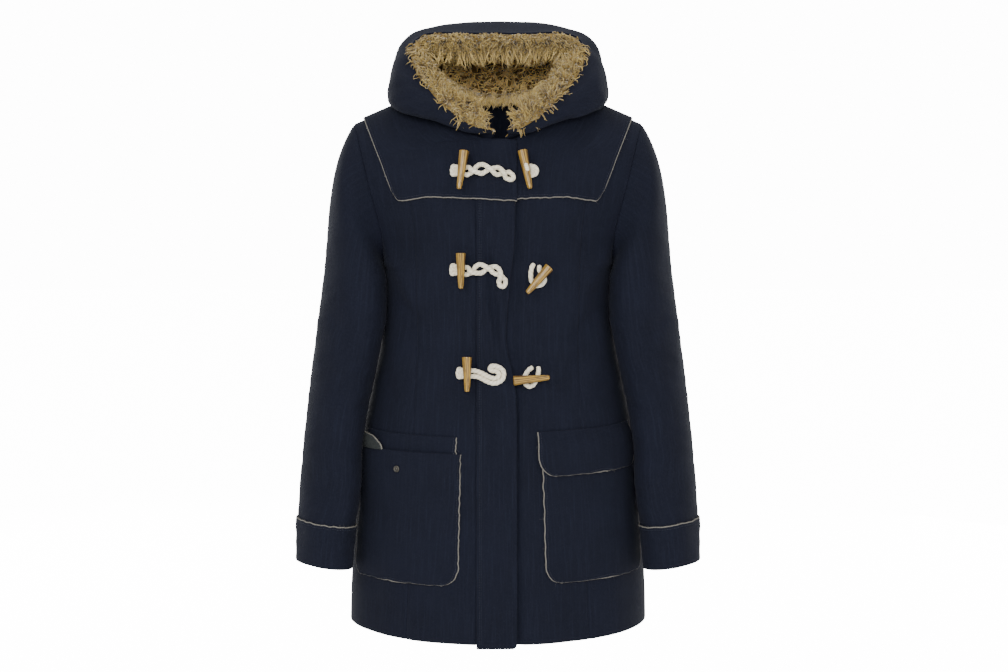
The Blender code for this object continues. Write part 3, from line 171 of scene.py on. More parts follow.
BACK_FOLDS = rows_of(
    Fold,
    (-0.14, -0.26, -0.085, -0.43, 0.019, -0.0034), (0.142, -0.268, 0.09, -0.41, 0.018, -0.003),
    (-0.06, -0.56, -0.07, -0.8, 0.026, 0.0034), (0.075, -0.52, 0.082, -0.8, 0.028, 0.003),
    (-0.152, -0.225, -0.11, -0.3, 0.0085, 0.0018), (0.155, -0.23, 0.104, -0.318, 0.008, 0.0019),
    (-0.118, -0.33, -0.03, -0.372, 0.011, -0.0014), (0.124, -0.352, 0.04, -0.384, 0.01, -0.0013),
    (-0.02, -0.25, -0.026, -0.42, 0.015, 0.0013), (0.024, -0.3, 0.036, -0.52, 0.016, -0.0015),
    (-0.128, -0.52, -0.146, -0.8, 0.019, -0.0024), (0.016, -0.61, 0.012, -0.8, 0.017, -0.0022),
    (0.14, -0.6, 0.158, -0.8, 0.018, -0.002),
)
SleeveFold = namedtuple("SleeveFold", "angle0 z0 angle1 z1 width height")
SLEEVE_FOLDS = rows_of(
    SleeveFold,
    (20, -0.33, 110, -0.372, 0.014, -0.0028), (70, -0.4, 175, -0.43, 0.013, -0.0024),
    (250, -0.345, 330, -0.39, 0.014, -0.0026), (40, -0.57, 120, -0.59, 0.012, -0.0016),
    # finer creases at the elbow and over the cuff
    (60, -0.318, 165, -0.3, 0.007, -0.0019), (85, -0.352, 178, -0.338, 0.0065, 0.0018),
    (30, -0.392, 100, -0.412, 0.008, 0.0016), (100, -0.462, 178, -0.446, 0.0085, -0.0016),
    (50, -0.486, 150, -0.52, 0.01, 0.0013), (70, -0.556, 170, -0.572, 0.007, 0.0014),
    (10, -0.6, 80, -0.588, 0.0065, -0.0012), (190, -0.372, 290, -0.356, 0.009, -0.0019),
    (200, -0.412, 320, -0.436, 0.01, 0.0018), (220, -0.5, 340, -0.478, 0.011, -0.0014),
    (210, -0.566, 300, -0.584, 0.0085, 0.0013),
)


# --- hood: sections from the throat round to the centre of the back, left half ---
# seam is the place on the neckline: 0 at the centre front, 1 at the neck point and 2 at the centre back
HoodSection = namedtuple("HoodSection", "seam rise rest low side crown rim")
HOOD = rows_of(
    HoodSection,
    (0.08, (0.011, -0.0955, -0.076), (0.011, -0.0985, -0.073), (0.0105, -0.102, -0.0725),
     (0.01, -0.105, -0.072), (0.0098, -0.108, -0.0712), (0.0095, -0.1105, -0.07)),
    (0.25, (0.036, -0.092, -0.0675), (0.04, -0.099, -0.066), (0.043, -0.1045, -0.071),
     (0.044, -0.1095, -0.07), (0.0425, -0.113, -0.066), (0.0395, -0.1145, -0.062)),
    (0.47, (0.061, -0.081, -0.0475), (0.076, -0.088, -0.0475), (0.0885, -0.096, -0.0545),
     (0.094, -0.104, -0.05), (0.086, -0.109, -0.042), (0.0745, -0.1095, -0.0355)),
    (0.72, (0.0765, -0.056, -0.0225), (0.103, -0.058, -0.028), (0.133, -0.064, -0.043),
     (0.141, -0.076, -0.033), (0.123, -0.088, -0.017), (0.0975, -0.091, -0.011)),
    (1.0, (0.08, -0.001, 0.005), (0.115, -0.008, -0.008), (0.1475, -0.018, -0.031),
     (0.1555, -0.038, -0.017), (0.144, -0.06, 0.006), (0.116, -0.068, 0.014)),
    (1.4, (0.0715, 0.052, -0.0055), (0.108, 0.053, -0.016), (0.146, 0.038, -0.028),
     (0.156, 0.02, -0.008), (0.149, -0.008, 0.033), (0.125, -0.04, 0.048)),
    (1.61, (0.056, 0.0665, -0.012), (0.082, 0.09, -0.04), (0.115, 0.108, -0.068),
     (0.137, 0.1, -0.015), (0.134, 0.03, 0.0645), (0.103, -0.018, 0.0715)),
    (1.8, (0.032, 0.074, -0.0175), (0.046, 0.109, -0.056), (0.066, 0.142, -0.102),
     (0.08, 0.16, -0.032), (0.072, 0.068, 0.085), (0.055, -0.011, 0.0735)),
    (2.0, (0.0, 0.0765, -0.0195), (0.0, 0.115, -0.062), (0.0, 0.152, -0.112),
     (0.0, 0.178, -0.035), (0.0, 0.076, 0.093), (0.0, -0.008, 0.0745)),
)
THROAT_SHIFT = 0.0045
HOOD_SEAM_RISE = 0.0007
HOOD_CLEARANCE = 0.0064
HOOD_BACK_CLEARANCE = 0.0090
LINING_GAP = 0.0006
PILE_THIN, PILE_THICK = 0.0040, 0.0170

# --- toggles and their cords, seen from the front; lift is the middle line's height over the cloth ---
Toggle = namedtuple("Toggle", "big_x big_z small_x small_z lift")
TOGGLES = {
    "right_1": Toggle(-0.0453, -0.1015, -0.0511, -0.1517, 0.0124),
    "left_1": Toggle(0.0332, -0.1008, 0.043, -0.151, 0.0122),
    "right_2": Toggle(-0.049, -0.2386, -0.0493, -0.2874, 0.0121),
    "left_2": Toggle(0.0685, -0.2581, 0.0393, -0.2934, 0.0132),
    "right_3": Toggle(-0.0416, -0.3835, -0.0411, -0.432, 0.0116),
    "left_3": Toggle(0.0215, -0.4168, 0.0693, -0.4129, 0.0115),
}
TOGGLE_BIG_R, TOGGLE_SMALL_R = 0.0068, 0.0033
CORD_R = 0.0029
CORD_LIFT = 0.0034
# a braid is two strands side by side: its middle line, half the distance between the strands, and how far the
# first strand runs over the second
BraidRow = namedtuple("BraidRow", "x z spread over")
BRAIDS = {
    "right_1": rows_of(
        BraidRow,
        (-0.0606, -0.1252, 0.0058, 0), (-0.053, -0.1252, 0.004, 0), (-0.0461, -0.1259, 0.004, 0),
        (-0.0405, -0.1266, 0.005, 0.001), (-0.0342, -0.1273, 0.0, 0.0068), (-0.023, -0.1242, -0.0062, 0),
        (-0.0112, -0.1245, 0.0, -0.0068), (-0.0007, -0.127, 0.0046, 0), (0.0077, -0.1295, 0.0, 0.0068),
        (0.0133, -0.1323, -0.0044, 0), (0.0172, -0.1343, -0.004, 0),
    ),
    "right_2": rows_of(
        BraidRow,
        (-0.062, -0.2617, 0.0058, 0), (-0.0549, -0.262, 0.004, 0), (-0.0479, -0.2627, 0.004, 0),
        (-0.0424, -0.2634, 0.005, 0.001), (-0.0354, -0.2645, 0.0, 0.0068), (-0.0243, -0.2601, -0.006, 0),
        (-0.0132, -0.2592, 0.0, -0.0068), (-0.0028, -0.2623, 0.0047, 0), (0.0042, -0.2697, 0.0, 0.0068),
        (0.006, -0.2765, -0.0044, 0), (0.0063, -0.2805, -0.004, 0),
    ),
    "right_3": rows_of(
        BraidRow,
        (-0.0531, -0.4064, 0.0056, 0), (-0.0466, -0.4064, 0.0039, 0), (-0.0396, -0.4067, 0.0039, 0),
        (-0.0334, -0.4067, 0.004, 0), (-0.0264, -0.4081, 0.0034, 0), (-0.0188, -0.4116, 0.0033, 0),
        (-0.011, -0.4155, 0.0033, 0), (-0.0028, -0.4165, 0.0033, 0), (0.004, -0.4122, 0.0033, 0),
        (0.0048, -0.405, 0.0033, 0), (-0.001, -0.4002, 0.0033, 0), (-0.008, -0.3994, 0.0033, 0),
    ),
}
BRAID_ENDS = {"right_1": 0.0043, "right_2": 0.0043, "right_3": 0.0026}
# single cords of the wearer's left: x, z
LOOPS = {
    "left_1": (
        (0.0400, -0.1206), (0.0462, -0.1196), (0.0518, -0.1217), (0.0530, -0.1256), (0.0518, -0.1296),
        (0.0462, -0.1318), (0.0405, -0.1309),
    ),
    "left_2": (
        (0.0502, -0.2530), (0.0467, -0.2592), (0.0456, -0.2676), (0.0464, -0.2765), (0.0517, -0.2831),
        (0.0597, -0.2829), (0.0645, -0.2767), (0.0630, -0.2698), (0.0578, -0.2634), (0.0574, -0.2551),
    ),
    "left_3": (
        (0.0488, -0.3978), (0.0423, -0.4025), (0.0381, -0.4095), (0.0370, -0.4164), (0.0395, -0.4223),
        (0.0448, -0.4248), (0.0503, -0.4214), (0.0534, -0.4143), (0.0562, -0.4060), (0.0562, -0.3968),
    ),
}
STUD_X, STUD_Z, STUD_R = -0.1385, -0.5430, 0.0048
STUD_LIFT = 0.0045
STUD_PROFILE = (
    (0.5, 0.0), (1.0, 0.0), (1.03, 0.0006), (1.0, 0.0012), (0.93, 0.0018), (0.82, 0.0021), (0.70, 0.0020),
    (0.58, 0.0015), (0.42, 0.0013), (0.30, 0.0017), (0.14, 0.0019),
)  # share of the radius, height

# --- how finely the cloth is cut up ---
CLOSE_TO_EDGE = np.array([0.0003, 0.0008, 0.0016, 0.0030])  # metres inside an edge
BODY_ROWS = 100
CHEST_LEVELS = tuple(np.linspace(0, 0.705, 42))
NECK_STEPS = 26
BACK_NECK_STEPS = 14
SLEEVE_LEVELS = tuple((1 - np.cos(np.linspace(0, np.pi, 44))) / 2)
RIDGE_LEVEL = 1.992
PATCH_ROWS, PATCH_COLUMNS = 46, 54
PLACKET_COLUMNS = 22
YOKE_FRONT_COLUMNS, YOKE_BACK_COLUMNS, YOKE_BACK_LEVELS = 50, 46, 41
SLEEVE_CAP_ROWS, SLEEVE_ROWS, CUFF_ROWS = 38, 78, 26
HOOD_ROWS, HOOD_COLUMNS = 72, 132
ROPE_STEP, ROPE_END_ROUND = 0.00062, 0.0022
ROPE_SWELL, CORE_REACH = 1.16, (-0.0012, 0.004, 0.0095)
TOGGLE_SIDES, STUD_SIDES = 40, 48
FLAT_SEEN = (1.0, 0.3, 1.0)  # distances along a patch count less where it runs away from the front view
LEFT_ANCHOR = ((0.0466, -0.1195), (0.0470, -0.1250), (0.0466, -0.1310))  # x and z of a short rope
OVER_TOGGLE = ((0.0365, -0.1192), (0.0382, -0.1240), (0.0398, -0.1292))
OVER_TOGGLE_LIFT = 0.0184
ROLLED_CORNER = (-0.1915, -0.5175, 0.0325, 0.0215)  # x and z of its middle, length and height
# height and swell of the places where a sleeve rests on the body
SLEEVE_PRESSES = ((-0.266, 0.0048), (-0.304, 0.0044), (-0.590, 0.0048), (-0.553, 0.0036))
YOKE_EDGE_ROWS = (0.0012, 0.0040, 0.0085)
YOKE_STEPS = np.array([0.0015, 0.0045, 0.010, 0.022, 0.05, 0.1, 0.2, 0.35, 0.5, 0.75])
SEAM_STITCH_INSETS = (0.0034, 0.0060)
ROPE_SIDES, ROPE_LAY = 14, 0.0115
LOCK_RINGS, LOCK_TRIES = 5, 14
LOCK_COIL, LOCK_TURNS, LOCK_FAT = (0.0010, 0.0029), (0.7, 1.5), (0.00090, 0.00190)
LOCK_RISE, LOCK_RUN, LOCK_SUNK = 0.50, 0.72, 0.0012
PILE_GRAIN, PILE_GRAIN_FINE = 0.0085, 0.0042
ROLLED_RIM = np.radians(np.arange(6, 163, 12))
FRAY_LONG, LOOSE_SHARE, LOOSE_LONG = 0.0026, 0.008, (0.004, 0.009)
THREE_SIDES = np.arange(3) * 2 * np.pi / 3
STEP = 1e-4

# --- sewing, cut edges and slack ---
SEAM_DEPTH, SEAM_WIDTH = 0.0011, 0.0024
PLACKET_CORNER = 0.007
EDGE_WOBBLE = 0.0006
RAW_BAND = 0.0011
EDGE_STITCH_INSET = 0.0038
STITCH_R, STITCH_LONG, STITCH_PITCH = 0.00026, 0.0026, 0.0036
FRAY_PITCH, FRAY_R = 0.00068, 0.00012
SLACK, SLACK_WAVE = 0.0007, 0.045
CUT_EDGES = []  # points, normals and outward directions of the cut edges, for their stitches and fray
HoodFold = namedtuple("HoodFold", "a0 w0 a1 w1 width height")
PILE_ROLL = 0.7
CROWN_DROP, CROWN_FROM, CROWN_HALF = 0.0052, 0.066, 0.058
OPENING_MIDDLE = np.array([0.0, 0.0, 0.010])
BAND_WIDTH = 0.021
HOOD_FOLDS = rows_of(
    HoodFold,
    (0.22, 0.3, 0.26, 0.7, 0.016, 0.0018), (0.33, 0.4, 0.36, 0.8, 0.018, -0.0024),
    (0.44, 0.2, 0.46, 0.55, 0.014, 0.0024), (0.55, 0.2, 0.53, 0.6, 0.017, 0.002),
    (0.63, 0.3, 0.6, 0.7, 0.015, -0.0026), (0.74, 0.35, 0.7, 0.7, 0.018, 0.002),
    (0.83, 0.3, 0.8, 0.6, 0.012, -0.0018),
)

# --- colours ---
NAVY_DEEP = (0.0022, 0.0030, 0.0082, 1.0)
NAVY_SOFT = (0.0034, 0.0045, 0.0116, 1.0)
NAVY_RIDGE = (0.0066, 0.0084, 0.0180, 1.0)
NAVY_FLECK = (0.020, 0.023, 0.036, 1.0)
REVERSE_DARK = (0.006, 0.008, 0.009, 1.0)
REVERSE_PALE = (0.038, 0.042, 0.040, 1.0)
RAW_DARK = (0.050, 0.046, 0.040, 1.0)
RAW_PALE = (0.250, 0.235, 0.205, 1.0)
# painted shade at the roots of the locks
PILE_ROOT_PAINTED_SHADE = (0.050, 0.028, 0.007, 1.0)
PILE_BROWN = (0.140, 0.084, 0.020, 1.0)
PILE_TAN = (0.270, 0.180, 0.048, 1.0)
PILE_PALE = (0.500, 0.370, 0.130, 1.0)
# painted light, added to the colour of the locks deep in the hood
PILE_PAINTED_LIGHT = (0.640, 0.480, 0.195, 1.0)
WOOD_PALE = (0.430, 0.258, 0.030, 1.0)
WOOD_DARK = (0.085, 0.038, 0.006, 1.0)
WOOD_WARM = (0.230, 0.122, 0.012, 1.0)
WOOD_PORE = (0.030, 0.012, 0.003, 1.0)
CREAM_LIGHT = (0.860, 0.800, 0.640, 1.0)
CREAM_SHADE = (0.740, 0.670, 0.500, 1.0)
# painted shade in the rope's grooves
CREAM_GROOVE_PAINTED_SHADE = (0.480, 0.420, 0.310, 1.0)
BRASS_DULL = (0.016, 0.015, 0.014, 1.0)
BRASS_BRIGHT = (0.120, 0.112, 0.098, 1.0)
THREAD_DARK, THREAD_PALE = (0.010, 0.013, 0.024, 1), (0.030, 0.036, 0.058, 1)

# --- studio ---
CAMERA = (0.0087, -3.0, -0.12)
AIM = (0.0087, 0.0, -0.364)
SENSOR_MM = 36.0
VIEW_WIDTH = 1.4616  # of the picture, in metres at the coat
LAMP_AIM = (0.0, 0.0, -0.38)
FLOOR_Z, FLOOR_HALF = -1.12, 14.0
FLOOR_GREY, FLOOR_PALE, WHITE = (0.88, 0.88, 0.88, 1), (0.92, 0.92, 0.92, 1), (1.0, 1.0, 1.0, 1.0)
WORLD_LIGHT = 0.75
FLOOR_GLOW = 14.0
BACKDROP_LIGHT = 14.0  # seen by the camera alone
LAMPS = (
    ("key_light", (-1.6, -2.6, 1.1), (1.6, 1.6), 46.0),
    ("fill_light", (2.2, -2.2, 0.2), (1.6, 1.8), 18.0),
    ("front_light", (0.1, -3.2, 0.5), (0.9, 0.9), 56.0),
    ("top_light", (0.2, 0.4, 2.2), (1.8, 1.8), 30.0),
    ("back_light", (-1.4, 2.8, 0.2), (2.0, 1.6), 44.0),
    ("back_fill", (1.8, 2.4, -0.2), (1.6, 1.8), 24.0),
)


def monotone(at, xs, ys):
    """A smooth curve through the points (xs, ys) that rises and falls only where they do."""
    xs, ys = np.asarray(xs, float), np.asarray(ys, float)
    steps = np.diff(xs)
    slopes = np.diff(ys) / steps
    product = slopes[:-1] * slopes[1:]
    same_way = product > 0
    total = np.where(same_way, slopes[:-1] + slopes[1:], 1.0)
    inner = np.where(same_way, 2 * product / total, 0.0)
    tangents = np.concatenate([slopes[:1], inner, slopes[-1:]])
    at = np.clip(at, xs[0], xs[-1])
    i = np.clip(np.searchsorted(xs, at) - 1, 0, len(steps) - 1)
    u = (at - xs[i]) / steps[i]
    start = ys[i] * (1 + 2 * u) + tangents[i] * steps[i] * u
    end = ys[i + 1] * (3 - 2 * u) - tangents[i + 1] * steps[i] * (1 - u)
    return start * (1 - u) ** 2 + end * u**2


def read(rows, name, at, key="z"):
    """One column of a table, read smoothly at the given places."""
    rows = sorted(rows, key=lambda row: getattr(row, key))
    return monotone(at, [getattr(r, key) for r in rows], [getattr(r, name) for r in rows])


def ease(share):
    """A smooth step: 0 below 0, 1 above 1."""
    share = np.clip(share, 0, 1)
    return share * share * (3 - 2 * share)


def unit(vectors):
    return vectors / np.maximum(np.linalg.norm(vectors, axis=-1, keepdims=True), 1e-15)


def spline_weights(at, count):
    """Segment and the four weights of a Catmull-Rom spline over count segments."""
    at = np.clip(at, 0, 1) * count
    i = np.minimum(at.astype(int), count - 1)
    u = at - i
    weights = (-u + 2 * u**2 - u**3, 2 - 5 * u**2 + 3 * u**3, u + 4 * u**2 - 3 * u**3, u**3 - u**2)
    return i, [w / 2 for w in weights]


def spline(points, at):
    """Smooth curve through rows of points, read at the given shares of their number."""
    points = np.asarray(points, float)
    i, weights = spline_weights(at, len(points) - 1)
    padded = np.concatenate([2 * points[:1] - points[1:2], points, 2 * points[-1:] - points[-2:-1]])
    shape = at.shape + (1,) * (points.ndim - 1)
    return sum(w.reshape(shape) * padded[i + k] for k, w in enumerate(weights))


def mirrored(points):
    return points * np.array([-1.0, 1.0, 1.0])


def fold_height(folds, x, z):
    """Sum of the soft folds: a bell across each line that fades out at both its ends."""
    height = np.zeros(np.broadcast(x, z).shape)
    for fold in folds:
        along = np.array([fold.x1 - fold.x0, fold.z1 - fold.z0])
        length = np.hypot(*along)
        along = along / length
        run = (x - fold.x0) * along[0] + (z - fold.z0) * along[1]
        across = (x - fold.x0) * along[1] - (z - fold.z0) * along[0]
        fade = ease(run / (0.35 * length) + 0.3) * ease((length - run) / (0.35 * length) + 0.3)
        height = height + fold.height * fade * np.exp(-((across / fold.width) ** 2))
    return height


# --- torso surface ---
def armhole_z(level):
    return UNDERARM_Z + (SHOULDER_TIP[1] - UNDERARM_Z) * np.clip(level - 1, 0, 1)


def armhole_depth(z, back):
    """How far the armhole's edge lies in front of or behind the shoulder line: an upright half oval."""
    middle = (UNDERARM_Z + SHOULDER_TIP[1]) / 2
    half = (SHOULDER_TIP[1] - UNDERARM_Z) / 2
    share = np.clip((z - middle) / half, -1, 1)
    return (ARMHOLE_BACK if back else ARMHOLE_FRONT) * np.sqrt(1 - share**2)


def shoulder_rise(x):
    """Height of the shoulder ridge over its tip: it climbs evenly to the neck point."""
    run = (SHOULDER_TIP[0] - np.abs(x)) / (SHOULDER_TIP[0] - NECK_POINT_X)
    return -SHOULDER_TIP[1] * np.clip(run, -0.1, 1.08)


def row_width(level):
    """The row's half width: the oval's up to the underarm (level 1) and the armhole's edge above it."""
    z = HEM_Z + (UNDERARM_Z - HEM_Z) * np.minimum(level, 1)
    return np.where(level < 1, read(TORSO, "half_width", z), read(ARMHOLE, "x", armhole_z(level)))


def torso(beta, level, back=False):
    """The torso's outer surface. beta is the angle round from the centre line, 90 degrees at the side.
    level is 0 at the hem, 1 at the underarm and 2 at the shoulder ridge. x is the row's half width times
    sin(beta).
    """
    share = np.sin(beta)
    x = row_width(level) * share
    if back:
        swell = np.sin(4 * (np.clip(np.abs(beta), np.pi / 4, np.pi / 2) - np.pi / 4))
        x = x + np.sign(beta) * BACK_FULLNESS * swell * ease((0.98 - level) / 0.1)
    t = np.clip(level - 1, 0, 1)
    z_low = HEM_Z + (UNDERARM_Z - HEM_Z) * np.minimum(level, 1)
    dip = (HEM_DIP_BACK if back else HEM_DIP_FRONT) * (1 - share**2) * np.clip(1 - level, 0, 1.1) ** 1.5
    z = np.where(level < 1, z_low - dip, armhole_z(level) + shoulder_rise(x) * t**1.5)
    depth = read(TORSO, "back" if back else "front", z_low)
    power = CHEST_ROUND + (SQUARENESS - CHEST_ROUND) * (1 - ease(t * 4))
    bend = 1 / SQUARENESS + (1 - 1 / SQUARENESS) * ease(t / 0.30)
    profile = np.clip(1 - np.abs(share) ** power, 0, 1) ** bend
    middle = (1 - t**5) ** 0.5 if back else (1 - t**3) ** 0.6
    edge = np.where(level < 1, 0, armhole_depth(armhole_z(level), back))
    # near the underarm the armhole's edge draws in only the cloth beside it
    pull = np.abs(share) ** 10 + (1 - profile - np.abs(share) ** 10) * ease(t / 0.25)
    out = depth * middle * profile + edge * pull
    return np.stack([x, out if back else -out, z], axis=-1)


def with_normals(surface, a, b, a_span, b_span):
    """Points of a two-parameter surface and their unit normals, from steps that stay inside its spans."""
    a_low, a_high = np.clip(a - STEP, *a_span), np.clip(a + STEP, *a_span)
    b_low, b_high = np.clip(b - STEP, *b_span), np.clip(b + STEP, *b_span)
    along = surface(a_high, b) - surface(a_low, b)
    up = surface(a, b_high) - surface(a, b_low)
    return surface(a, b), unit(np.cross(unit(along), unit(up)))


def torso_layer(beta, level, lift, back=False):
    """Torso points moved out by lift and by the folds, with the normals of the plain torso."""
    beta, level = np.broadcast_arrays(np.asarray(beta, float), np.asarray(level, float))
    quarter = np.pi / 2
    points, normals = with_normals(
        lambda b, v: torso(b, v, back), beta, level, a_span=(-quarter, quarter), b_span=(-0.1, 2.0)
    )
    normals = -normals if back else normals
    # the folds fade towards the side seam and the shoulder, where front and back share one edge
    folds = fold_height(BACK_FOLDS if back else FRONT_FOLDS, points[..., 0], points[..., 2])
    folds = folds + SLACK * unevenness(points[..., [0, 2]] / SLACK_WAVE, 2 if back else 3)
    folds = folds * ease((quarter - np.abs(beta)) / 0.25) * ease((2 - level) / 0.3)
    return points + normals * (np.asarray(lift) + folds)[..., None], normals


def beta_at(x, level):
    return np.arcsin(np.clip(x / row_width(level), -1, 1))


def find_level(measure, target, low, high):
    """The level where a measure that grows with it meets the target, by halving the span."""
    low, high = np.full(target.shape, float(low)), np.full(target.shape, float(high))
    for _ in range(34):
        middle = (low + high) / 2
        above = measure(middle) > target
        low, high = np.where(above, low, middle), np.where(above, middle, high)
    return (low + high) / 2


def level_at(x, z, back=False):
    """The level of the surface at the place x, z that the front view shows."""
    x, z = np.broadcast_arrays(np.asarray(x, float), np.asarray(z, float))
    return find_level(lambda v: torso(beta_at(x, v), v, back)[..., 2], z, 0, 2)


def level_on_line(beta, z):
    """The level where the line up the front at the angle beta reaches the height z."""
    beta, z = np.broadcast_arrays(beta, z)
    return find_level(lambda v: torso(beta, v)[..., 2], z, 0, 2)


def front_point(x, z, lift):
    """A point over the front cloth at the place x, z that the front view shows, and its normal."""
    level = level_at(x, z)
    return torso_layer(beta_at(x, level), level, lift)


def body_height(x, y):
    """Height of the shoulders above the place x, y of the plan, or far below where they don't reach."""
    x = np.abs(x)
    heights = np.full(x.shape, -1.0)
    for back in (False, True):
        sign = 1 if back else -1
        y_of = lambda v: -sign * torso(beta_at(x, v), v, back)[..., 1]
        level = find_level(y_of, -sign * y, 1, 2)
        found = torso(beta_at(x, level), level, back)
        near = (np.abs(found[..., 1] - y) < 1e-4) & (y * sign >= 0)
        heights = np.where(near, np.maximum(heights, found[..., 2]), heights)
    return heights


def neckline(place, back=False):
    """x and level of the neckline: place 0 is the centre and 1 the neck point."""
    drop = np.cos(np.pi / 2 * np.clip(place, 0, 1)) ** NECK_ROUND
    low = NECK_BACK_LEVEL if back else NECK_FRONT_LEVEL
    return NECK_POINT_X * np.sqrt(1 - drop**2), 2 - (1 - low) * drop


def neckline_x(level, low):
    """The neckline's x where it meets a level, for a neckline whose lowest share is low."""
    drop = (2 - level) / (1 - low)
    return NECK_POINT_X * np.sqrt(1 - drop**2)


def torso_levels(back=False):
    """The levels of a panel's rows, and the neckline's x on each, -1 below it."""
    steps = BACK_NECK_STEPS if back else NECK_STEPS
    neck_x, neck_level = neckline(np.arange(1, steps + 1) / steps, back)
    low = NECK_BACK_LEVEL if back else NECK_FRONT_LEVEL
    chest = 1 + np.array([t for t in (SLEEVE_LEVELS if back else CHEST_LEVELS) if t < low] + [low])
    plain = np.concatenate([np.arange(BODY_ROWS) / BODY_ROWS, chest])
    levels = np.concatenate([plain, neck_level])
    neck = np.concatenate([np.full(len(plain), -1.0), neck_x])
    extra = [RIDGE_LEVEL]
    if not back:
        extra = [1 + t for t in SLEEVE_LEVELS if t > low and np.abs(levels - 1 - t).min() > 0.004]
    levels = np.concatenate([levels, extra])
    neck = np.concatenate([neck, neckline_x(np.array(extra), low)])
    order = np.argsort(levels)
    return levels[order], neck[order]


def ring_angles():
    """Angles round the sleeve that meet the armhole at the panels' own levels: 0 at the shoulder tip, 90
    degrees at the front, 180 at the underarm and 270 at the back.
    """
    half = np.arccos(2 * np.array(SLEEVE_LEVELS[::-1]) - 1)
    return np.concatenate([half, (2 * np.pi - half[::-1])[1:-1]])


def turn_out(mesh):
    """Points every face outwards."""
    shape = bmesh.new()
    shape.from_mesh(mesh)
    bmesh.ops.recalc_face_normals(shape, faces=shape.faces)
    shape.to_mesh(mesh)
    shape.free()


# --- grids into closed cloth ---
def fine(count, length):
    """Even shares of a length, with extra ones close to both of its edges."""
    close = CLOSE_TO_EDGE / length
    return np.unique(np.concatenate([np.linspace(0, 1, count + 1), close, 1 - close]))


def run_along(points, axis):
    """Distance run along one axis of a grid, from its first points."""
    steps = np.linalg.norm(np.diff(points, axis=axis), axis=-1)
    start = np.zeros_like(np.take(steps, [0], axis=axis))
    return np.concatenate([start, np.cumsum(steps, axis=axis)], axis=axis)


def cloth_map(points):
    """Place of each point on the flat cloth in metres: across from the middle column, and up the middle
    column.
    """
    across, up = run_along(points, 1), run_along(points, 0)
    middle = points.shape[1] // 2
    across = across - across[:, middle : middle + 1]
    return np.stack([across, np.broadcast_to(up[:, middle : middle + 1], across.shape)], -1)


def unevenness(places, seed):
    """A smooth uneven height between -1 and 1 over places in metres: eight crossed waves of chosen
    lengths.
    """
    luck = np.random.default_rng(seed)
    turn = luck.uniform(0, 2 * np.pi, 8)
    wave = 2 * np.pi / luck.uniform(0.6, 1.7, 8)
    start = luck.uniform(0, 2 * np.pi, 8)
    height = 0
    for k in range(8):
        run = places[..., 0] * np.cos(turn[k]) + places[..., 1] * np.sin(turn[k])
        height = height + np.sin(wave[k] * run + start[k])
    return height / 4.2


def outward(grid, axis, at_end):
    """Unit direction that leads out of a grid over one of its edges."""
    edge, inside = (-1, -3) if at_end else (0, 2)
    return unit(np.take(grid, edge, axis=axis) - np.take(grid, inside, axis=axis))


def perimeter(index, tube):
    """The loops of grid places round the free edges, each with its first place repeated at its end."""
    if tube:
        return [index[0], index[-1]]
    return [np.concatenate([index[0, :-1], index[:-1, -1], index[-1, :0:-1], index[::-1, 0]])]


def mesh_object(name, points, faces, finish, uv=None, marks=None):
    """A smooth-shaded mesh that faces outwards. uv is given for each face corner, and marks are one
    number or vector for each point.
    """
    mesh = bpy.data.meshes.new(name)
    mesh.from_pydata(points.reshape(-1, 3).tolist(), [], faces if isinstance(faces, list) else faces.tolist())
    if uv is not None:
        mesh.uv_layers.new(name="cloth").data.foreach_set("uv", uv.astype(np.float32).ravel())
    for mark, values in (marks or {}).items():
        kind, key = ("FLOAT_VECTOR", "vector") if values.ndim > 1 else ("FLOAT", "value")
        mesh.attributes.new(mark, kind, "POINT").data.foreach_set(key, values.astype(np.float32).ravel())
    mesh.update()
    turn_out(mesh)
    mesh.shade_smooth()
    mesh.materials.append(finish)
    made = bpy.data.objects.new(name, mesh)
    bpy.context.scene.collection.objects.link(made)
    return made


def declare(made, slot, *nodes):
    """Hangs a piece under the root body and hides the CAD nodes that it stands for. slot is not used."""
    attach(made, "root")
    if nodes:
        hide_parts(*nodes)


def around(one, two, angle):
    """Directions round an axis, one cos(angle) + two sin(angle), with the angles on an axis of their own."""
    angle = angle[:, None]
    return one[..., None, :] * np.cos(angle) + two[..., None, :] * np.sin(angle)


def read_line(at, run, values):
    """A line's points or directions, read at distances along it."""
    return np.stack([np.interp(at, run, values[:, k]) for k in range(3)], -1)


def tube_faces(index, ends=True):
    """Faces round tubes, from the numbers of the points on their rings, and those that close their ends.
    The last two axes of index are a tube's rings and a ring's points.
    """
    after = np.roll(index, -1, axis=-1)
    near, far = np.s_[..., :-1, :], np.s_[..., 1:, :]
    faces = np.stack([index[near], after[near], after[far], index[far]], -1).reshape(-1, 4).tolist()
    if ends:
        for end in (index[..., 0, ::-1], index[..., -1, :]):
            faces += end.reshape(-1, index.shape[-1]).tolist()
    return faces


